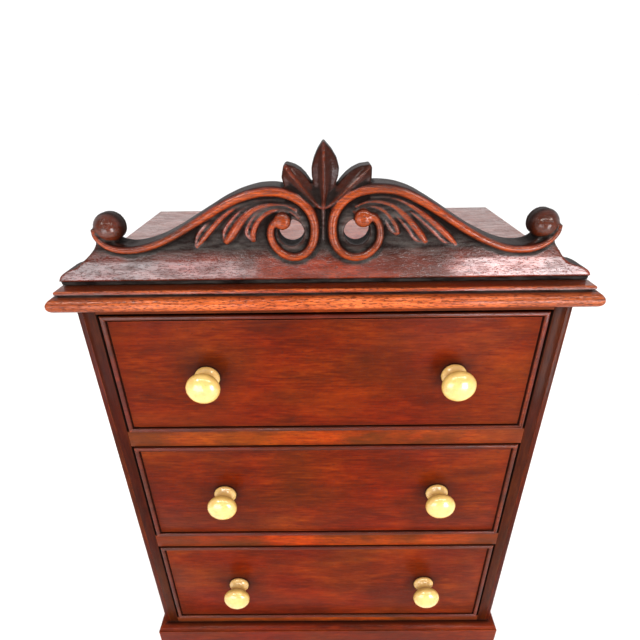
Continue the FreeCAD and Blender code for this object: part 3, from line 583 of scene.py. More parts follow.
# %% The moulding's levels: (how far the edge stands out from the case, height), in millimetres
def edge_levels():
    nose_out, nose_radius, step_out = 10.5, 4.4, 6.4
    arc_steps = 15
    levels = [(nose_out - 5.2, 0.0)]
    for i in range(1, arc_steps + 1):
        turn = math.radians(-90 + 170 * i / arc_steps)
        levels.append((nose_out - nose_radius + nose_radius * math.cos(turn),
                       nose_radius + nose_radius * math.sin(turn)))
    for inset, height in ((0.2, 8.80), (1.2, 8.85), (1.2, 9.75), (0.3, 9.85), (0.0, 10.1), (0.0, 11.3),
                          (0.2, 11.65), (0.55, 11.88), (1.1, 12.0)):
        levels.append((step_out - inset, height))
    return levels


# %% Where the moulded edge is worn, and where dirt and painted shade darken it
EDGE_WEAR = {0.6: 0.0, 1.6: 0.5, 3.0: 0.85, 7.0: 0.85, 8.4: 0.5, 8.8: 0.1, 9.8: 0.0, 10.6: 0.1, 11.3: 0.3,
             11.8: 0.9, 12.0: 0.5}
# dirt and painted shade: the quirk and the underside of the nosing go dark
EDGE_DIRT_AND_SHADE = {0.3: 0.6, 1.2: 0.0, 8.6: 0.0, 8.8: 0.8, 9.8: 1.0, 10.0: 0.3, 10.4: 0.0}


def mark_top(board):
    """Stores wear on the nosing and the step's arris, and dirt with painted shade in the quirk and under the
    nosing, on the three moulded edges.
    """
    mesh = board.data
    profiles = {"crest": EDGE_WEAR, "hollow": EDGE_DIRT_AND_SHADE}
    layers = {label: mesh.attributes.new(label, "FLOAT", "CORNER") for label in profiles}
    for face in mesh.polygons:
        moulded = face.normal.y < 0.9 and abs(face.normal.z) < 0.999
        for loop in face.loop_indices:
            height = (mesh.vertices[mesh.loops[loop].vertex_index].co.z - TOP_LOW.z) / MM
            for label, profile in profiles.items():
                value = np.interp(height, list(profile), list(profile.values())) if moulded else 0.0
                layers[label].data[loop].value = value


# %% Raise the board level by level
def raise_top():
    levels = [(out * MM, TOP_LOW.z + up * MM) for out, up in edge_levels()]
    back = TOP_HIGH.y
    depth = back - FACE_Y
    out, z = levels[0]
    bpy.ops.object.select_all(action="DESELECT")
    bpy.ops.mesh.primitive_plane_add(size=1, location=(0, back - (depth + out) / 2, z))
    board = bpy.context.object
    board.name = "top_board_moulded"
    board.scale = (2 * (HALF_CASE + out), depth + out, 1)
    settle(board)

    def lift_to_each_level():
        for (out, z), (after, above) in zip(levels, levels[1:]):
            bpy.ops.mesh.extrude_region_move(TRANSFORM_OT_translate={"value": (0, 0, above - z)})
            grow = ((HALF_CASE + after) / (HALF_CASE + out), (depth + after) / (depth + out), 1)
            bpy.ops.transform.resize(value=grow, center_override=(0, back, above))

    edit(board, lift_to_each_level)
    edit(board, face_out)
    mark_top(board)
    smooth_below(board, 38)
    print("top board:", len(board.data.polygons), "faces")
    return board


hand_over(raise_top(), "carcass", "mahogany", "top", "top_board")


# %% [markdown]
# ## Curves as drawings
# The knobs, the fretted board, the scrolls and the ribs all start as a line on paper. Blender's Curve
# object is that line: it can be straight from point to point or bend smoothly through them, and it turns
# into a mesh when it is done.


# %% Draw lines
def blank_curve(name):
    """A curve object with nothing drawn on it yet."""
    bpy.ops.object.select_all(action="DESELECT")
    bpy.ops.curve.primitive_bezier_curve_add(location=(0, 0, 0))
    curve = bpy.context.object
    curve.name = name
    curve.data.splines.remove(curve.data.splines[0])
    return curve


def draw_straight(curve, points, closed=False):
    """Draws straight from point to point."""
    spline = curve.data.splines.new("POLY")
    spline.points.add(len(points) - 1)
    for point, place in zip(spline.points, points):
        point.co = (*place, 1)
    spline.use_cyclic_u = closed


def draw_through(curve, points, handles="AUTO", closed=False):
    """Draws through (x, z) or (x, z, half width) points, in millimetres."""
    spline = curve.data.splines.new("BEZIER")
    spline.bezier_points.add(len(points) - 1)
    for knot, (x, z, *half) in zip(spline.bezier_points, points):
        knot.co = (x * MM, z * MM, 0)
        knot.handle_left_type = knot.handle_right_type = handles
        if half:
            knot.radius = half[0] * MM
    spline.use_cyclic_u = closed


def as_mesh(curve):
    take(curve)
    bpy.ops.object.convert(target="MESH")
    return bpy.context.object


# %% [markdown]
# ## Turned knobs
# A knob is turned on a lathe from one piece of bone: a spigot that glues into the drawer front, a rounded
# collar, a waist, and an oval head. Blender's lathe is the Spin operator. We draw half of the profile and
# spin it once round.


# %% Draw the profile and spin it
def knob_profile():
    """(radius, distance out from the drawer front), in millimetres."""
    spigot = [(0, -9), (2.7, -9), (3.0, -8.7), (3.0, 0.0)]
    collar = [(6.6, 0.0), (7.35, 0.25), (7.75, 0.9), (7.75, 1.7), (7.3, 2.5), (6.6, 3.1)]
    waist = [(5.9, 3.9), (5.4, 4.9), (5.15, 5.9), (5.2, 6.7), (5.6, 7.35)]
    head_radius, head_middle, half_head, arc_steps = 10.1, 12.4, 5.6, 24
    head = []
    for i in range(1, arc_steps):
        turn = math.radians(-52 + 142 * i / arc_steps)
        head.append((head_radius * math.cos(turn), head_middle + half_head * math.sin(turn)))
    return [*spigot, *collar, *waist, *head, (0.0, head_middle + half_head)]


def turn_knob(node):
    low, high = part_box(node)
    centre = Vector(((low.x + high.x) / 2, FACE_Y, (low.z + high.z) / 2))
    line = blank_curve(f"{node}_turned")
    half = [(centre.x + radius * MM, centre.y - out * MM, centre.z) for radius, out in knob_profile()]
    draw_straight(line, half)
    knob = as_mesh(line)
    edit(knob,
         lambda: bpy.ops.mesh.spin(steps=56, angle=math.tau, center=centre, axis=(0, 1, 0)),
         lambda: bpy.ops.mesh.select_all(action="SELECT"), merge_points(0.01 * MM), face_out)
    smooth_below(knob, 45)
    return hand_over(knob, frame["nodes"][node]["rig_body"], "bone", "bone", node)


for level in LEVELS:
    for side in ("left", "right"):
        knob = turn_knob(f"{level}_drawer_{side}_knob")
print("knob faces:", len(knob.data.polygons))

# %% [markdown]
# ## The carved gallery: drawing it
# The gallery is cut from one mahogany board, 15 mm thick. The carver first sawed the outline and bored the
# two volute holes, then cut the ground back, and left the scrolls, the fingers of leaf and the crest
# standing. We work in the same order. All the points below are millimetres: first across from the middle,
# then up from the top board. The two halves were carved by eye, so each side has its own points. A finger
# of leaf is two lobes side by side: we draw the main one and work out the other from it.

# %% The outline that was sawn, left end to right end
LEFT_END = [(-144.6, 0), (-145.4, 2.5), (-144.6, 5.2), (-141, 8.4), (-135, 10.9), (-130, 14.2),
            (-125.2, 18.3), (-122.2, 22), (-120.4, 26.5)]
CREST_LINE = [(-117, 29.0), (-112, 24.6), (-105, 22.4), (-97, 22.9), (-88, 25.6), (-78, 30.0), (-68, 35.6),
              (-58, 41.2), (-48, 46.8), (-38, 50.7), (-28, 52.2), (-18, 51.4), (-9, 50.0), (0, 49.5),
              (9, 50.0), (17, 51.6), (27, 53.0), (36, 52.6), (46, 49.6), (56, 43.6), (66, 37.0), (76, 31.0),
              (86, 26.0), (96, 21.8), (104, 20.6), (111, 21.6), (117, 25.6)]
RIGHT_END = [(123.6, 26), (123.0, 22.5), (126, 17.4), (130, 12.6), (135, 9.8), (140, 8.2), (144.4, 5.4),
             (145.4, 2.6), (144.8, 0)]
HOLES = {"left": (-16.9, 28.2), "right": (18.0, 28.2)}
HOLE_RADIUS = 7.0

# %% The two scrolls: centre line, and half the width of the roll at each point
SCROLL = {
    "left": [(-120.6, 32, 1.0), (-119.7, 27.6, 1.5), (-116, 23.4, 1.75), (-111, 21.1, 1.9), (-104, 20.3, 2.0),
             (-97, 21.1, 2.05), (-88, 23.7, 2.1), (-78, 28.2, 2.15), (-68, 33.8, 2.2), (-58, 39.5, 2.3),
             (-48, 44.9, 2.4), (-38, 48.6, 2.55), (-29, 50.2, 2.65), (-21, 49.6, 2.7), (-13.5, 46.8, 2.7),
             (-8, 41.9, 2.65), (-4.9, 35.8, 2.55), (-4.3, 29.0, 2.5), (-5.8, 22.4, 2.45), (-9.6, 17.6, 2.4),
             (-14.5, 15.7, 2.35), (-19.8, 16.7, 2.3), (-24.4, 20.3, 2.2), (-27.1, 25.4, 2.1),
             (-27.2, 30.6, 1.95), (-24.9, 34.6, 1.8), (-22.4, 35.8, 1.6)],
    "right": [(123.4, 31.5, 1.0), (122.6, 27.2, 1.5), (119, 22.6, 1.75), (113.5, 19.6, 1.9), (106, 18.5, 2.0),
              (98, 19.2, 2.05), (89, 22.2, 2.1), (79, 27.0, 2.15), (69, 33.0, 2.2), (59, 39.4, 2.3),
              (49, 45.2, 2.4), (40, 49.2, 2.5), (31, 50.9, 2.6), (22.5, 50.6, 2.7), (14.8, 48.2, 2.75),
              (9.0, 43.4, 2.7), (5.7, 37.2, 2.6), (4.9, 30.2, 2.55), (6.1, 23.4, 2.5), (9.7, 18.2, 2.4),
              (14.9, 15.6, 2.35), (20.6, 15.7, 2.3), (25.8, 18.6, 2.2), (29.3, 23.4, 2.1), (29.9, 29.2, 2.0),
              (28.0, 34.6, 1.9), (24.4, 37.4, 1.8), (22.2, 36.6, 1.6)],
}
EYE = {"left": (-21.1, 35.0, 4.6), "right": (20.9, 36.0, 4.8)}
BALL = {"left": (-114.0, 31.6, 8.0), "right": (116.8, 31.0, 7.8)}

# %% Fingers of leaf: each runs from its tip into the volute, with half the width of its main lobe
RIBS = {
    "left": [
        [(-67.6, 21.3, 1.0), (-63.5, 25.6, 1.6), (-57, 32.6, 1.55), (-50, 38.9, 1.35), (-43, 43.0, 1.1),
         (-35, 45.3, 0.9), (-27, 45.9, 0.8), (-19.5, 45.0, 0.6)],
        [(-52.0, 23.3, 1.5), (-48.6, 27.0, 2.5), (-44.4, 32.8, 2.5), (-39.4, 38.2, 2.0), (-33.4, 41.9, 1.5),
         (-26.5, 43.4, 1.1), (-19, 42.7, 0.9), (-13.2, 39.8, 0.7)],
        [(-36.6, 24.3, 1.1), (-36.9, 27.8, 1.7), (-35.2, 32.6, 1.6), (-31.6, 37.0, 1.4), (-26.6, 39.9, 1.2),
         (-21.2, 40.6, 1.0), (-16.4, 39.2, 0.8), (-12.4, 35.8, 0.6)],
    ],
    "right": [
        [(70.6, 21.1, 1.0), (66.2, 25.4, 1.8), (60.0, 30.9, 1.8), (53.4, 36.2, 1.6), (46.2, 41.2, 1.3),
         (38.6, 45.0, 1.1), (31.0, 46.6, 0.9), (24, 46.4, 0.7)],
        [(54.7, 22.4, 1.2), (51.6, 26.4, 2.0), (46.8, 32.2, 1.9), (41.8, 37.4, 1.7), (36.0, 41.8, 1.3),
         (29.4, 44.0, 1.1), (22.6, 44.0, 0.9), (16.6, 41.6, 0.7)],
        [(39.7, 26.9, 1.0), (38.2, 31.0, 1.5), (35.0, 35.8, 1.4), (30.8, 39.7, 1.2), (25.6, 41.6, 1.0),
         (20.0, 41.2, 0.9), (15.6, 38.8, 0.7)],
    ],
}
LOBE_SHARE = {"left": (0.75, 0.45, 0.7), "right": (0.6, 0.55, 0.8)}


def second_lobe(path, share):
    """The thinner lobe to the left of a finger's main one: both leave from one tip, with a groove between."""
    lobe = []
    last = len(path) - 1
    for number, (x, z, half) in enumerate(path):
        (x0, z0, _), (x1, z1, _) = path[max(number - 1, 0)], path[min(number + 1, last)]
        along = Vector((x1 - x0, z1 - z0)).normalized()
        spread = 0.35 if number == 0 else 0.6 if number == last else 1.0
        away = (half * (1 + share) + 0.5) * spread
        lobe.append((x - along.y * away, z + along.x * away, half * share))
    return lobe


SECOND = {side: [second_lobe(*pair) for pair in zip(RIBS[side], LOBE_SHARE[side])] for side in RIBS}

# %% The three crest leaves, in millimetres
# each: base, tip, half-widths left and right of the midrib from base to tip, bend, height of the midrib
CREST = {
    "leaf_middle": ((0.2, 40.5), (0.6, 73.4), (0.5, 2.2, 3.9, 5.3, 6.3, 6.4, 5.2, 3.2, 0.25),
                    (0.5, 2.2, 3.9, 5.5, 6.8, 7.3, 6.2, 3.8, 0.25), 0.6, 3.1),
    "leaf_left": ((-1.0, 41.0), (-18.6, 62.8), (0.3, 1.6, 3.0, 4.3, 5.5, 6.2, 6.1, 4.8, 0.9),
                  (0.3, 1.8, 3.4, 4.6, 5.2, 5.4, 4.9, 3.4, 0.6), -0.8, 2.5),
    "leaf_right": ((1.4, 41.0), (23.9, 62.0), (0.3, 1.9, 3.6, 4.9, 5.7, 5.9, 5.3, 3.7, 0.6),
                   (0.3, 1.6, 3.0, 4.3, 5.5, 6.2, 6.0, 4.7, 0.9), 0.8, 2.5),
}
print(len(CREST), "crest leaves drawn")

# %% [markdown]
# ## The carved gallery: sawing the blank
# A closed flat curve with a hole in it is the easiest fretted board: Blender fills it, gives it thickness,
# and keeps the holes. A second shape is the section of the board seen from its end: flat field at the
# bottom, sloping back to the sunk ground. Where the two overlap is the blank, which an intersecting Boolean
# finds.


# %% Flat shapes from outlines
def flat_shape(name, outlines, thickness, handles="AUTO"):
    """Fills closed outlines (inner ones are holes) and gives them thickness, still lying flat."""
    shape = blank_curve(name)
    data = shape.data
    data.dimensions = "2D"
    data.fill_mode = "BOTH"
    data.resolution_u = 8 if handles == "AUTO" else 1
    for points in outlines:
        draw_through(shape, points, handles, closed=True)
    data.extrude = thickness / 2 * MM
    return as_mesh(shape)


def stand_up(piece, behind):
    """Turns a flat shape upright on the top board, its middle this far behind the drawer faces."""
    piece.rotation_euler = (math.radians(90), 0, 0)
    piece.location = (0, FACE_Y + behind * MM, TOP_Z)
    return settle(piece)


def ring(centre, radius, count=20):
    x, z = centre
    turns = [math.tau * i / count for i in range(count)]
    return [(x + radius * math.cos(turn), z + radius * math.sin(turn)) for turn in turns]


# %% Saw the blank
# the section's points: (depth behind the drawer faces, height), from the back round to the foot
END_SECTION = [(15, 0.1), (15, 80), (3.7, 80), (3.7, 27), (2.9, 22.5), (1.8, 18), (0.9, 13.5), (0.35, 9),
               (0.05, 3.4), (1.9, 2.6), (2.0, 0.1)]
SAWN_THICKNESS, SAWN_MIDDLE = 16, 7.5
SECTION_LENGTH = 300


def saw_blank():
    holes = [ring(centre, HOLE_RADIUS) for centre in HOLES.values()]
    fretted = flat_shape("gallery_carved", [LEFT_END + CREST_LINE + RIGHT_END, *holes], SAWN_THICKNESS)
    stand_up(fretted, SAWN_MIDDLE)
    section = flat_shape("end_section", [END_SECTION], SECTION_LENGTH, "VECTOR")
    section.rotation_euler = (math.radians(90), 0, math.radians(90))
    section.location = (0, FACE_Y, TOP_Z)
    settle(section)
    for piece in (section, fretted):
        edit(piece, merge_points(0.001 * MM), face_out)
    modify(fretted, "BOOLEAN", operation="INTERSECT", solver="EXACT", object=section)
    bpy.data.objects.remove(section)
    size = [round(v / MM, 1) for v in fretted.dimensions]
    print("blank:", len(fretted.data.polygons), "faces,", size, "mm")
    return fretted


gallery = saw_blank()

# %% [markdown]
# ## The carved gallery: scrolls, fingers and knots
# A scroll is a long roll that swells and thins, so it is a curve with a section swept along it. Its section
# is a half-round nose with straight sides that run back through the board, which also gives the flat top
# edge behind the roll. The fingers of leaf lie on the ground, so theirs is a plain round section. Each
# scroll ends in a flattened eye at its volute and in a ball at the gallery's end. A ball is a sphere on a
# short bar, which runs back to the board's rear.


# %% Sweep a section along a curve whose radius changes
def section_curve(name, points):
    section = blank_curve(name)
    section.data.dimensions = "2D"
    draw_straight(section, [(across, forward, 0) for across, forward in points], closed=True)
    return section


def sweep(name, path, section, behind):
    """Sweeps the section along (x, z, half width) points in a plane this far behind the drawer faces."""
    line = blank_curve(name)
    data = line.data
    data.dimensions = "2D"
    data.fill_mode = "NONE"
    data.resolution_u = 6
    data.bevel_mode = "OBJECT"
    data.bevel_object = section
    data.use_fill_caps = True
    draw_through(line, path)
    made = stand_up(as_mesh(line), behind)
    edit(made, merge_points(0.0001 * MM), face_out)
    return made


# %% An eye or a ball
def knot_of_wood(x, z, radius, flatness, front, rear):
    """A sphere, flattened from front to back, and the round bar that carries it through the board."""
    middle = FACE_Y + (front + radius * flatness) * MM
    back = FACE_Y + rear * MM
    x, z = x * MM, TOP_Z + z * MM
    bpy.ops.object.select_all(action="DESELECT")
    bpy.ops.mesh.primitive_uv_sphere_add(segments=32, ring_count=20, radius=radius * MM,
                                         location=(x, middle, z))
    knot = bpy.context.object
    knot.scale = (1, flatness, 1)
    settle(knot)
    bpy.ops.mesh.primitive_cylinder_add(vertices=40, radius=radius * MM * 0.97, depth=back - middle,
                                        location=(x, (back + middle) / 2, z),
                                        rotation=(math.radians(90), 0, 0))
    return [knot, settle(bpy.context.object)]


# %% Make them, left and right
SCROLL_BEHIND, FINGER_BEHIND, SPINE_BEHIND = 1.6, 3.0, 2.9
SPINE = [(0.3, 43, 1.0), (0.2, 36, 0.8), (0.1, 30, 0.7), (0, 23, 0.4)]
half_round = [(math.cos(math.pi * i / 12), math.sin(math.pi * i / 12)) for i in range(13)]
scroll_section = section_curve("scroll_section", half_round + [(-1.0, -7.5), (1.0, -7.5)])
rib_section = section_curve("rib_section", ring((0, 0), 1.0, 14))
parts = []
for side in ("left", "right"):
    parts.append(sweep(f"scroll_{side}", SCROLL[side], scroll_section, SCROLL_BEHIND))
    for number, path in enumerate(RIBS[side] + SECOND[side]):
        parts.append(sweep(f"rib_{side}_{number}", path, rib_section, FINGER_BEHIND))
    parts += knot_of_wood(*EYE[side], flatness=0.5, front=-1.0, rear=14.9)
    parts += knot_of_wood(*BALL[side], flatness=1.0, front=-0.7, rear=12.0)
parts.append(sweep("spine", SPINE, rib_section, SPINE_BEHIND))
print(len(parts), "carved parts")


# %% [markdown]
# ## The carved gallery: crest leaves
# Each leaf of the crest is a pointed blade with a sharp midrib and hollow cheeks. A grid is its blank: five
# rows of points from edge to edge, nine stations from base to tip. Each station is set to the leaf's width
# there, the midrib is drawn forward, and the sheet is extruded back for the thickness.


# %% Shape a leaf from a grid
# the five columns: how far out each stands, as a share of the width, and how proud, as a share of the midrib
LEAF_COLUMNS = ((-1.0, 0.0), (-0.45, 0.32), (0.0, 1.0), (0.45, 0.32), (1.0, 0.0))
LEAF_EDGE, LEAF_THICKNESS = 1.6, 11.5


def crest_leaf(name, base, tip, left, right, bend, rise):
    stations = len(left)
    columns = len(LEAF_COLUMNS)
    bpy.ops.object.select_all(action="DESELECT")
    bpy.ops.mesh.primitive_grid_add(x_subdivisions=columns - 1, y_subdivisions=stations - 1, size=2,
                                    location=(0, 0, 0))
    leaf = bpy.context.object
    leaf.name = name
    way = Vector((tip[0] - base[0], tip[1] - base[1]))
    across = Vector((way.y, -way.x)).normalized()
    order = sorted(leaf.data.vertices, key=lambda v: (round(v.co.y, 4), round(v.co.x, 4)))
    for row in range(stations):
        t = row / (stations - 1)
        spine = Vector(base) + way * t + across * (bend * 4 * t * (1 - t))
        for (side, share), vertex in zip(LEAF_COLUMNS, order[row * columns:]):
            half = left[row] if side < 0 else right[row]
            place = spine + across * (side * half)
            proud = share * rise * min(1.0, half / 3.0)
            vertex.co = (place.x * MM, FACE_Y + (LEAF_EDGE - proud) * MM, TOP_Z + place.y * MM)
    back = {"value": (0, LEAF_THICKNESS * MM, 0)}
    edit(leaf, lambda: bpy.ops.mesh.extrude_region_move(TRANSFORM_OT_translate=back))
    edit(leaf, face_out)
    return leaf


for name, shape in CREST.items():
    parts.append(crest_leaf(name, *shape))
print("crest leaves shaped, parts now", len(parts))

# %% [markdown]
# ## The carved gallery: one piece of wood
# Joined parts would show hard seams where they cross. A voxel Remesh flows them into one skin, as if cut
# from one board, and a little smoothing rounds it as years of polishing do. A grid of 0.6 mm keeps the
# finest rib. The remesh leaves the back and the foot slightly rough, so both are planed flat: only what
# lies inside a large block stays.

# %% Join, remesh and smooth
take(gallery, *parts)
bpy.ops.object.join()
for helper in (scroll_section, rib_section):
    bpy.data.objects.remove(helper)
modify(gallery, "REMESH", mode="VOXEL", voxel_size=0.6 * MM, adaptivity=0.0)
modify(gallery, "SMOOTH", factor=0.5, iterations=2)


# %% Plane the back and the foot
def plane_off(piece, back, foot):
    """Keeps what lies in front of one depth and above one height, in millimetres."""
    wide, deep, tall = 320 * MM, 40 * MM, 120 * MM
    place = (0, FACE_Y + back * MM - deep / 2, TOP_Z + foot * MM + tall / 2)
    bpy.ops.object.select_all(action="DESELECT")
    bpy.ops.mesh.primitive_cube_add(size=1, location=place)
    keep = bpy.context.object
    keep.scale = (wide, deep, tall)
    settle(keep)
    modify(piece, "BOOLEAN", operation="INTERSECT", solver="EXACT", object=keep)
    bpy.data.objects.remove(keep)


plane_off(gallery, back=14.8, foot=0.05)
smooth_below(gallery, 50)
print("gallery:", len(gallery.data.polygons), "faces")


# %% [markdown]
# ## Where the polish gathers, where it wears, and where shade is painted
# Old carving is nearly black in its hollows and orange on its crests. To find them, compare each point with
# the average of the skin round it: a point that stands out of its smoothed neighbourhood is raised, and one
# that lies inside it is a hollow. Two sizes of neighbourhood are used, and the sunk ground counts as hollow
# too. The dark of the hollows is partly dirt and partly painted shade, and faces turned from the front and a
# band along the foot are darkened as painted shade. Shape alone isn't enough, because cloths and fingers
# reach only some of what is raised. So the lines that drew the scrolls, the fingers and the midribs also say
# what is handled, and only that wears; its orange thins on upward faces and towards the fingers' roots, which
# is painted shade. What nobody handles, high on the crest, has gone nearly black: that is smoked. The deepest
# cuts and the side walls of the rolls go nearly black too, and that is painted shade.


# %% Read a skin and smooth it
def read_skin(mesh):
    """The mesh's points, the way each one faces, and its edges as pairs of points."""

    def read(items, label, width, kind):
        values = np.empty(len(items) * width, dtype=kind)
        items.foreach_get(label, values)
        return values.reshape(-1, width)

    return (read(mesh.vertices, "co", 3, np.float64), read(mesh.vertices, "normal", 3, np.float64),
            read(mesh.edges, "vertices", 2, np.int64))


def smoothed(points, edges, rounds):
    """The points after each has moved to its neighbours' average this many times."""
    count = len(points)
    ends = np.concatenate([edges[:, 0], edges[:, 1]])
    others = np.concatenate([edges[:, 1], edges[:, 0]])
    degree = np.maximum(np.bincount(ends, minlength=count), 1)
    result = points.copy()
    for _ in range(rounds):
        totals = [np.bincount(ends, weights=result[others, axis], minlength=count) for axis in range(3)]
        result = np.stack([total / degree for total in totals], 1)
    return result


# %% Find what is handled
def on_board(points):
    """(x, z) in the drawing's millimetres."""
    return np.stack([points[:, 0], points[:, 2] - TOP_Z], 1) / MM


def near_lines(points, paths, fade=0.0):
    """1 on a roll or finger along one of the paths, falling to 0 beside it, and fading towards its root."""
    flat = on_board(points)
    best = np.zeros(len(flat))
    for path in paths:
        knots = np.array(path)
        for number, ((x0, z0, w0), (x1, z1, w1)) in enumerate(zip(knots, knots[1:])):
            way = np.array([x1 - x0, z1 - z0])
            t = np.clip(((flat - (x0, z0)) @ way) / (way @ way), 0, 1)
            away = np.hypot(flat[:, 0] - x0 - t * way[0], flat[:, 1] - z0 - t * way[1])
            on_it = np.clip((0.9 * (w0 + (w1 - w0) * t) - away) / 0.6, 0, 1)
            faded = fade * np.clip(1.25 * (number + t) / (len(knots) - 1), 0, 1)
            best = np.maximum(best, on_it * (1 - faded))
    return best


def near_spots(points, spots):
    """1 on a knot of wood round one of the (x, z, radius) spots, falling to 0 beside it."""
    flat = on_board(points)
    inside = [radius - np.hypot(flat[:, 0] - x, flat[:, 1] - z) for x, z, radius in spots.values()]
    return np.clip(np.max(inside, axis=0) / 0.9 + 0.6, 0, 1)


def handled_places(points):
    """1 where cloths and fingers reach most, less on balls, midribs and second lobes, almost 0 elsewhere. The
    fingers also fade towards their roots, which is painted shade.
    """
    rolls = near_lines(points, SCROLL.values())
    # painted shade: the fingers lose their orange towards the volute, as if shadowed
    fingers = np.maximum(near_lines(points, RIBS["left"] + RIBS["right"], fade=0.6),
                         near_lines(points, SECOND["left"] + SECOND["right"], fade=0.6) * 0.5)
    midribs = near_lines(points, [[(*base, 0.2), (*tip, 1.3)] for base, tip, *_ in CREST.values()])
    knots = np.maximum(near_spots(points, EYE), near_spots(points, BALL) * 0.3)
    return np.maximum.reduce([rolls, knots, fingers * 0.95, midribs * 0.3, np.full(len(points), 0.04)])


# %% Measure the carving and store what we find
GROUND_START, GROUND_FULL = 0.7 * MM, 1.7 * MM
CREST_FOOT, BALLS_FROM, FIELD_TOP, FOOT_TOP = 40, 108 * MM, 24 * MM, 3.6 * MM


def measure_relief(piece):
    points, normals, edges = read_skin(piece.data)
    fine = ((points - smoothed(points, edges, 8)) * normals).sum(1) / (0.10 * MM)
    broad = ((points - smoothed(points, edges, 60)) * normals).sum(1) / (0.55 * MM)
    forward = -normals[:, 1]
    up = points[:, 2] - TOP_Z
    behind = points[:, 1] - FACE_Y
    front = np.clip(forward * 1.4, 0, 1)
    handled = handled_places(points)

    raised = np.clip(broad * 0.9 + fine * 0.35, 0, 1)
    # painted shade: the orange wear thins on faces that turn upwards, so the tops of the rolls read darker
    painted_light_by_facing = np.clip(1.05 - 1.2 * normals[:, 2], 0.2, 1)
    crest = np.clip(raised * 1.4 + 0.2, 0, 1) * np.clip((forward - 0.5) / 0.35, 0, 1) * handled * painted_light_by_facing

    sunk = np.where(behind > 13 * MM, 0, np.clip((behind - GROUND_START) / GROUND_FULL, 0, 1) * front)
    ground = sunk * 0.98 - raised * 1.1 * np.clip(handled * 3, 0, 1)
    # painted shade: faces turned away from the front, such as the top edge behind the rolls, go dark
    turned_away = np.clip(1.0 - forward * 2.4, 0, 1) * np.where(up > 4 * MM, 0.4, 0.3)
    # painted shadow: a dark band along the foot, where the gallery meets the top board
    foot = np.clip((FOOT_TOP - up) / (0.6 * MM), 0, 1) * front
    # dirt and painted shade together in the concave places
    hollow = np.maximum.reduce([-broad * 1.1 - fine * 0.5, ground, turned_away]) + foot

    high_up = np.clip(1 - handled * 1.3, 0, 1) * np.clip((up / MM - CREST_FOOT) / 5, 0, 0.95)
    ends = np.where(np.abs(points[:, 0]) > BALLS_FROM, 0.35, 0) * (up > FIELD_TOP)
    # painted shade: the deepest cuts and the side walls of the rolls are blackened as if shadowed
    deep_cuts = np.clip(-broad * 0.7 - 0.3, 0, 1)
    side_walls = np.clip(1.5 - forward * 2.2, 0, 1)
    smoked_and_shaded = np.maximum.reduce([high_up, ends, deep_cuts, side_walls])
    for label, values in (("crest", crest), ("hollow", hollow), ("smoked_and_shaded", smoked_and_shaded)):
        values = np.clip(values, 0, 1)
        layer = piece.data.attributes.new(label, "FLOAT", "POINT")
        layer.data.foreach_set("value", values.astype(np.float32))
        print(f"{label}: mean {values.mean():.2f}, over half {np.mean(values > 0.5):.2f}")


measure_relief(gallery)
hand_over(gallery, "carcass", "mahogany", "carving", "carved_gallery")


# %% [markdown]
# ## Floor and light
# The chest stands on a plain pale floor in a white room. Two soft boxes above and in front light the
# carving from both sides, and a long strip between them draws the highlights along the mouldings. Two low
# boxes in front are there to be mirrored: the gallery's lower field leans back, so its polish shows what
# lies low before it. The room is brighter behind the chest than in front, which the top board's polish
# mirrors.


# %% A pale floor
def pale_floor():
    bpy.ops.object.select_all(action="DESELECT")
    bpy.ops.mesh.primitive_plane_add(size=60, location=(0, 0, 0))
    floor = bpy.context.object
    floor.name = "studio_floor"
    mix = Recipe("pale_floor")
    soft = mix.noise(0.4, 0.4, "X", 0.0, 2.0)
    pale = mix.ramp(soft, (0.3, (0.93, 0.93, 0.925)), (0.7, (0.95, 0.95, 0.945)))
    mix.feed(pale, mix.sockets["Base Color"])
    mix.sockets["Roughness"].default_value = 0.75
    floor.data.materials.append(mix.block)


pale_floor()


# %% Soft boxes
def soft_box(name, place, aim, size, power, colour):
    """A rectangular lamp: its place, the point that it faces, its width and height, watts and colour."""
    light = bpy.data.lights.new(name, "AREA")
    light.shape = "RECTANGLE"
    light.size, light.size_y = size
    light.energy = power
    light.color = colour
    lamp = bpy.data.objects.new(name, light)
    bpy.context.scene.collection.objects.link(lamp)
    lamp.location = place
    lamp.rotation_euler = (Vector(aim) - Vector(place)).to_track_quat("-Z", "Y").to_euler()


soft_box("soft_box_left", (-0.80, -1.05, 1.25), (0, 0, 0.33), (0.42, 0.30), 6.5, (1.0, 0.95, 0.88))
soft_box("soft_box_right", (0.80, -1.00, 1.20), (0, 0, 0.33), (0.42, 0.30), 6.5, (1.0, 0.95, 0.88))
soft_box("long_strip", (-0.1, -1.0, 1.25), (0, 0, 0.36), (1.5, 0.06), 9.5, (1.0, 0.96, 0.90))
soft_box("low_box_right", (0.40, -0.70, 0.19), (0.10, 0, 0.36), (0.26, 0.34), 5.4, (0.95, 0.97, 1.0))
soft_box("low_box_left", (-0.35, -0.70, 0.19), (-0.08, 0, 0.36), (0.42, 0.34), 3.6, (0.92, 0.96, 1.0))


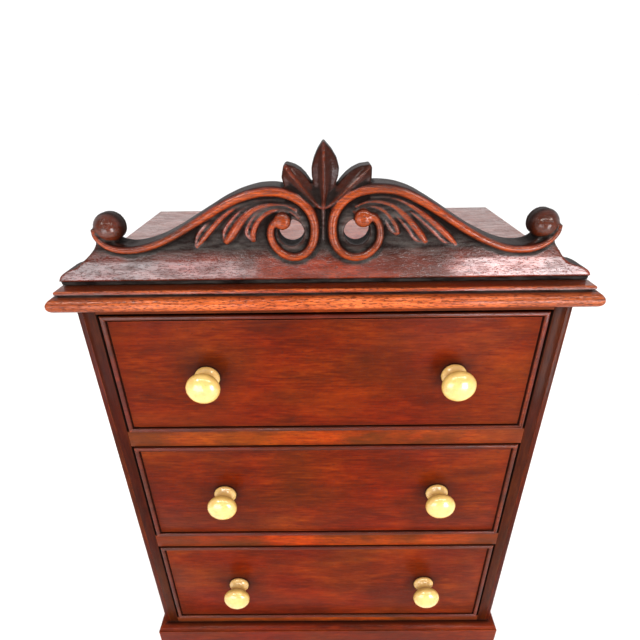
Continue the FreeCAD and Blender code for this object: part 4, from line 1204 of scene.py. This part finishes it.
# %% The room
def bright_room():
    """A white room: dimmer in front than behind, with a bright band above the horizon behind the chest."""
    mix = Recipe("bright_room", "worlds", "Background")

    def slope(source, low, high, start, end):
        """A straight rise from one strength to another between two values of the source."""
        made = mix.add("ShaderNodeMapRange")
        for key, value in (("Value", source), ("From Min", low), ("From Max", high), ("To Min", start),
                           ("To Max", end)):
            mix.feed(value, made.inputs[key])
        return made.outputs[0]

    way = mix.add("ShaderNodeSeparateXYZ")
    mix.feed(mix.add("ShaderNodeTexCoord").outputs["Generated"], way.inputs[0])
    even = slope(way.outputs["Y"], -0.35, 0.10, 0.60, 1.27)
    behind = slope(way.outputs["Y"], 0.70, 0.82, 0.0, 1.0)
    above = slope(way.outputs["Z"], 0.14, 0.24, 0.0, 1.2)
    haze = slope(way.outputs["Z"], 0.0, 0.15, 0.82, 1.0)
    mix.sockets["Color"].default_value = (0.985, 0.99, 1.0, 1)
    mix.feed(mix.times(mix.maths("ADD", even, mix.times(behind, above)), haze), mix.sockets["Strength"])
    bpy.context.scene.world = mix.block


bright_room()
bpy.context.scene.view_settings.view_transform = "Standard"
print("room lit")

# %% [markdown]
# ## The camera
# The camera is close, with a wide lens, and looks down on the gallery. It is turned a little off square, as
# a camera in the hand is.


# %% The camera
def set_camera():
    lens = bpy.data.cameras.new("camera")
    lens.sensor_width = 36
    lens.lens = 25.18
    lens.clip_start = 0.01
    camera = bpy.data.objects.new("camera", lens)
    bpy.context.scene.collection.objects.link(camera)
    camera.location = (-0.00015, FACE_Y - 0.2278, TOP_LOW.z + 0.1068)
    pitch, yaw, roll = math.radians(27.12), math.radians(-0.532), math.radians(-0.877)
    forward = Vector((math.sin(yaw) * math.cos(pitch), math.cos(yaw) * math.cos(pitch), -math.sin(pitch)))
    level = Vector((math.cos(yaw), -math.sin(yaw), 0))
    upward = level.cross(forward)
    right = math.cos(roll) * level + math.sin(roll) * upward
    top = -math.sin(roll) * level + math.cos(roll) * upward
    matrix = camera.matrix_world.copy()
    for row in range(3):
        matrix[row][0], matrix[row][1], matrix[row][2] = right[row], top[row], -forward[row]
        matrix[row][3] = camera.location[row]
    camera.matrix_world = matrix
    bpy.context.scene.camera = camera


set_camera()
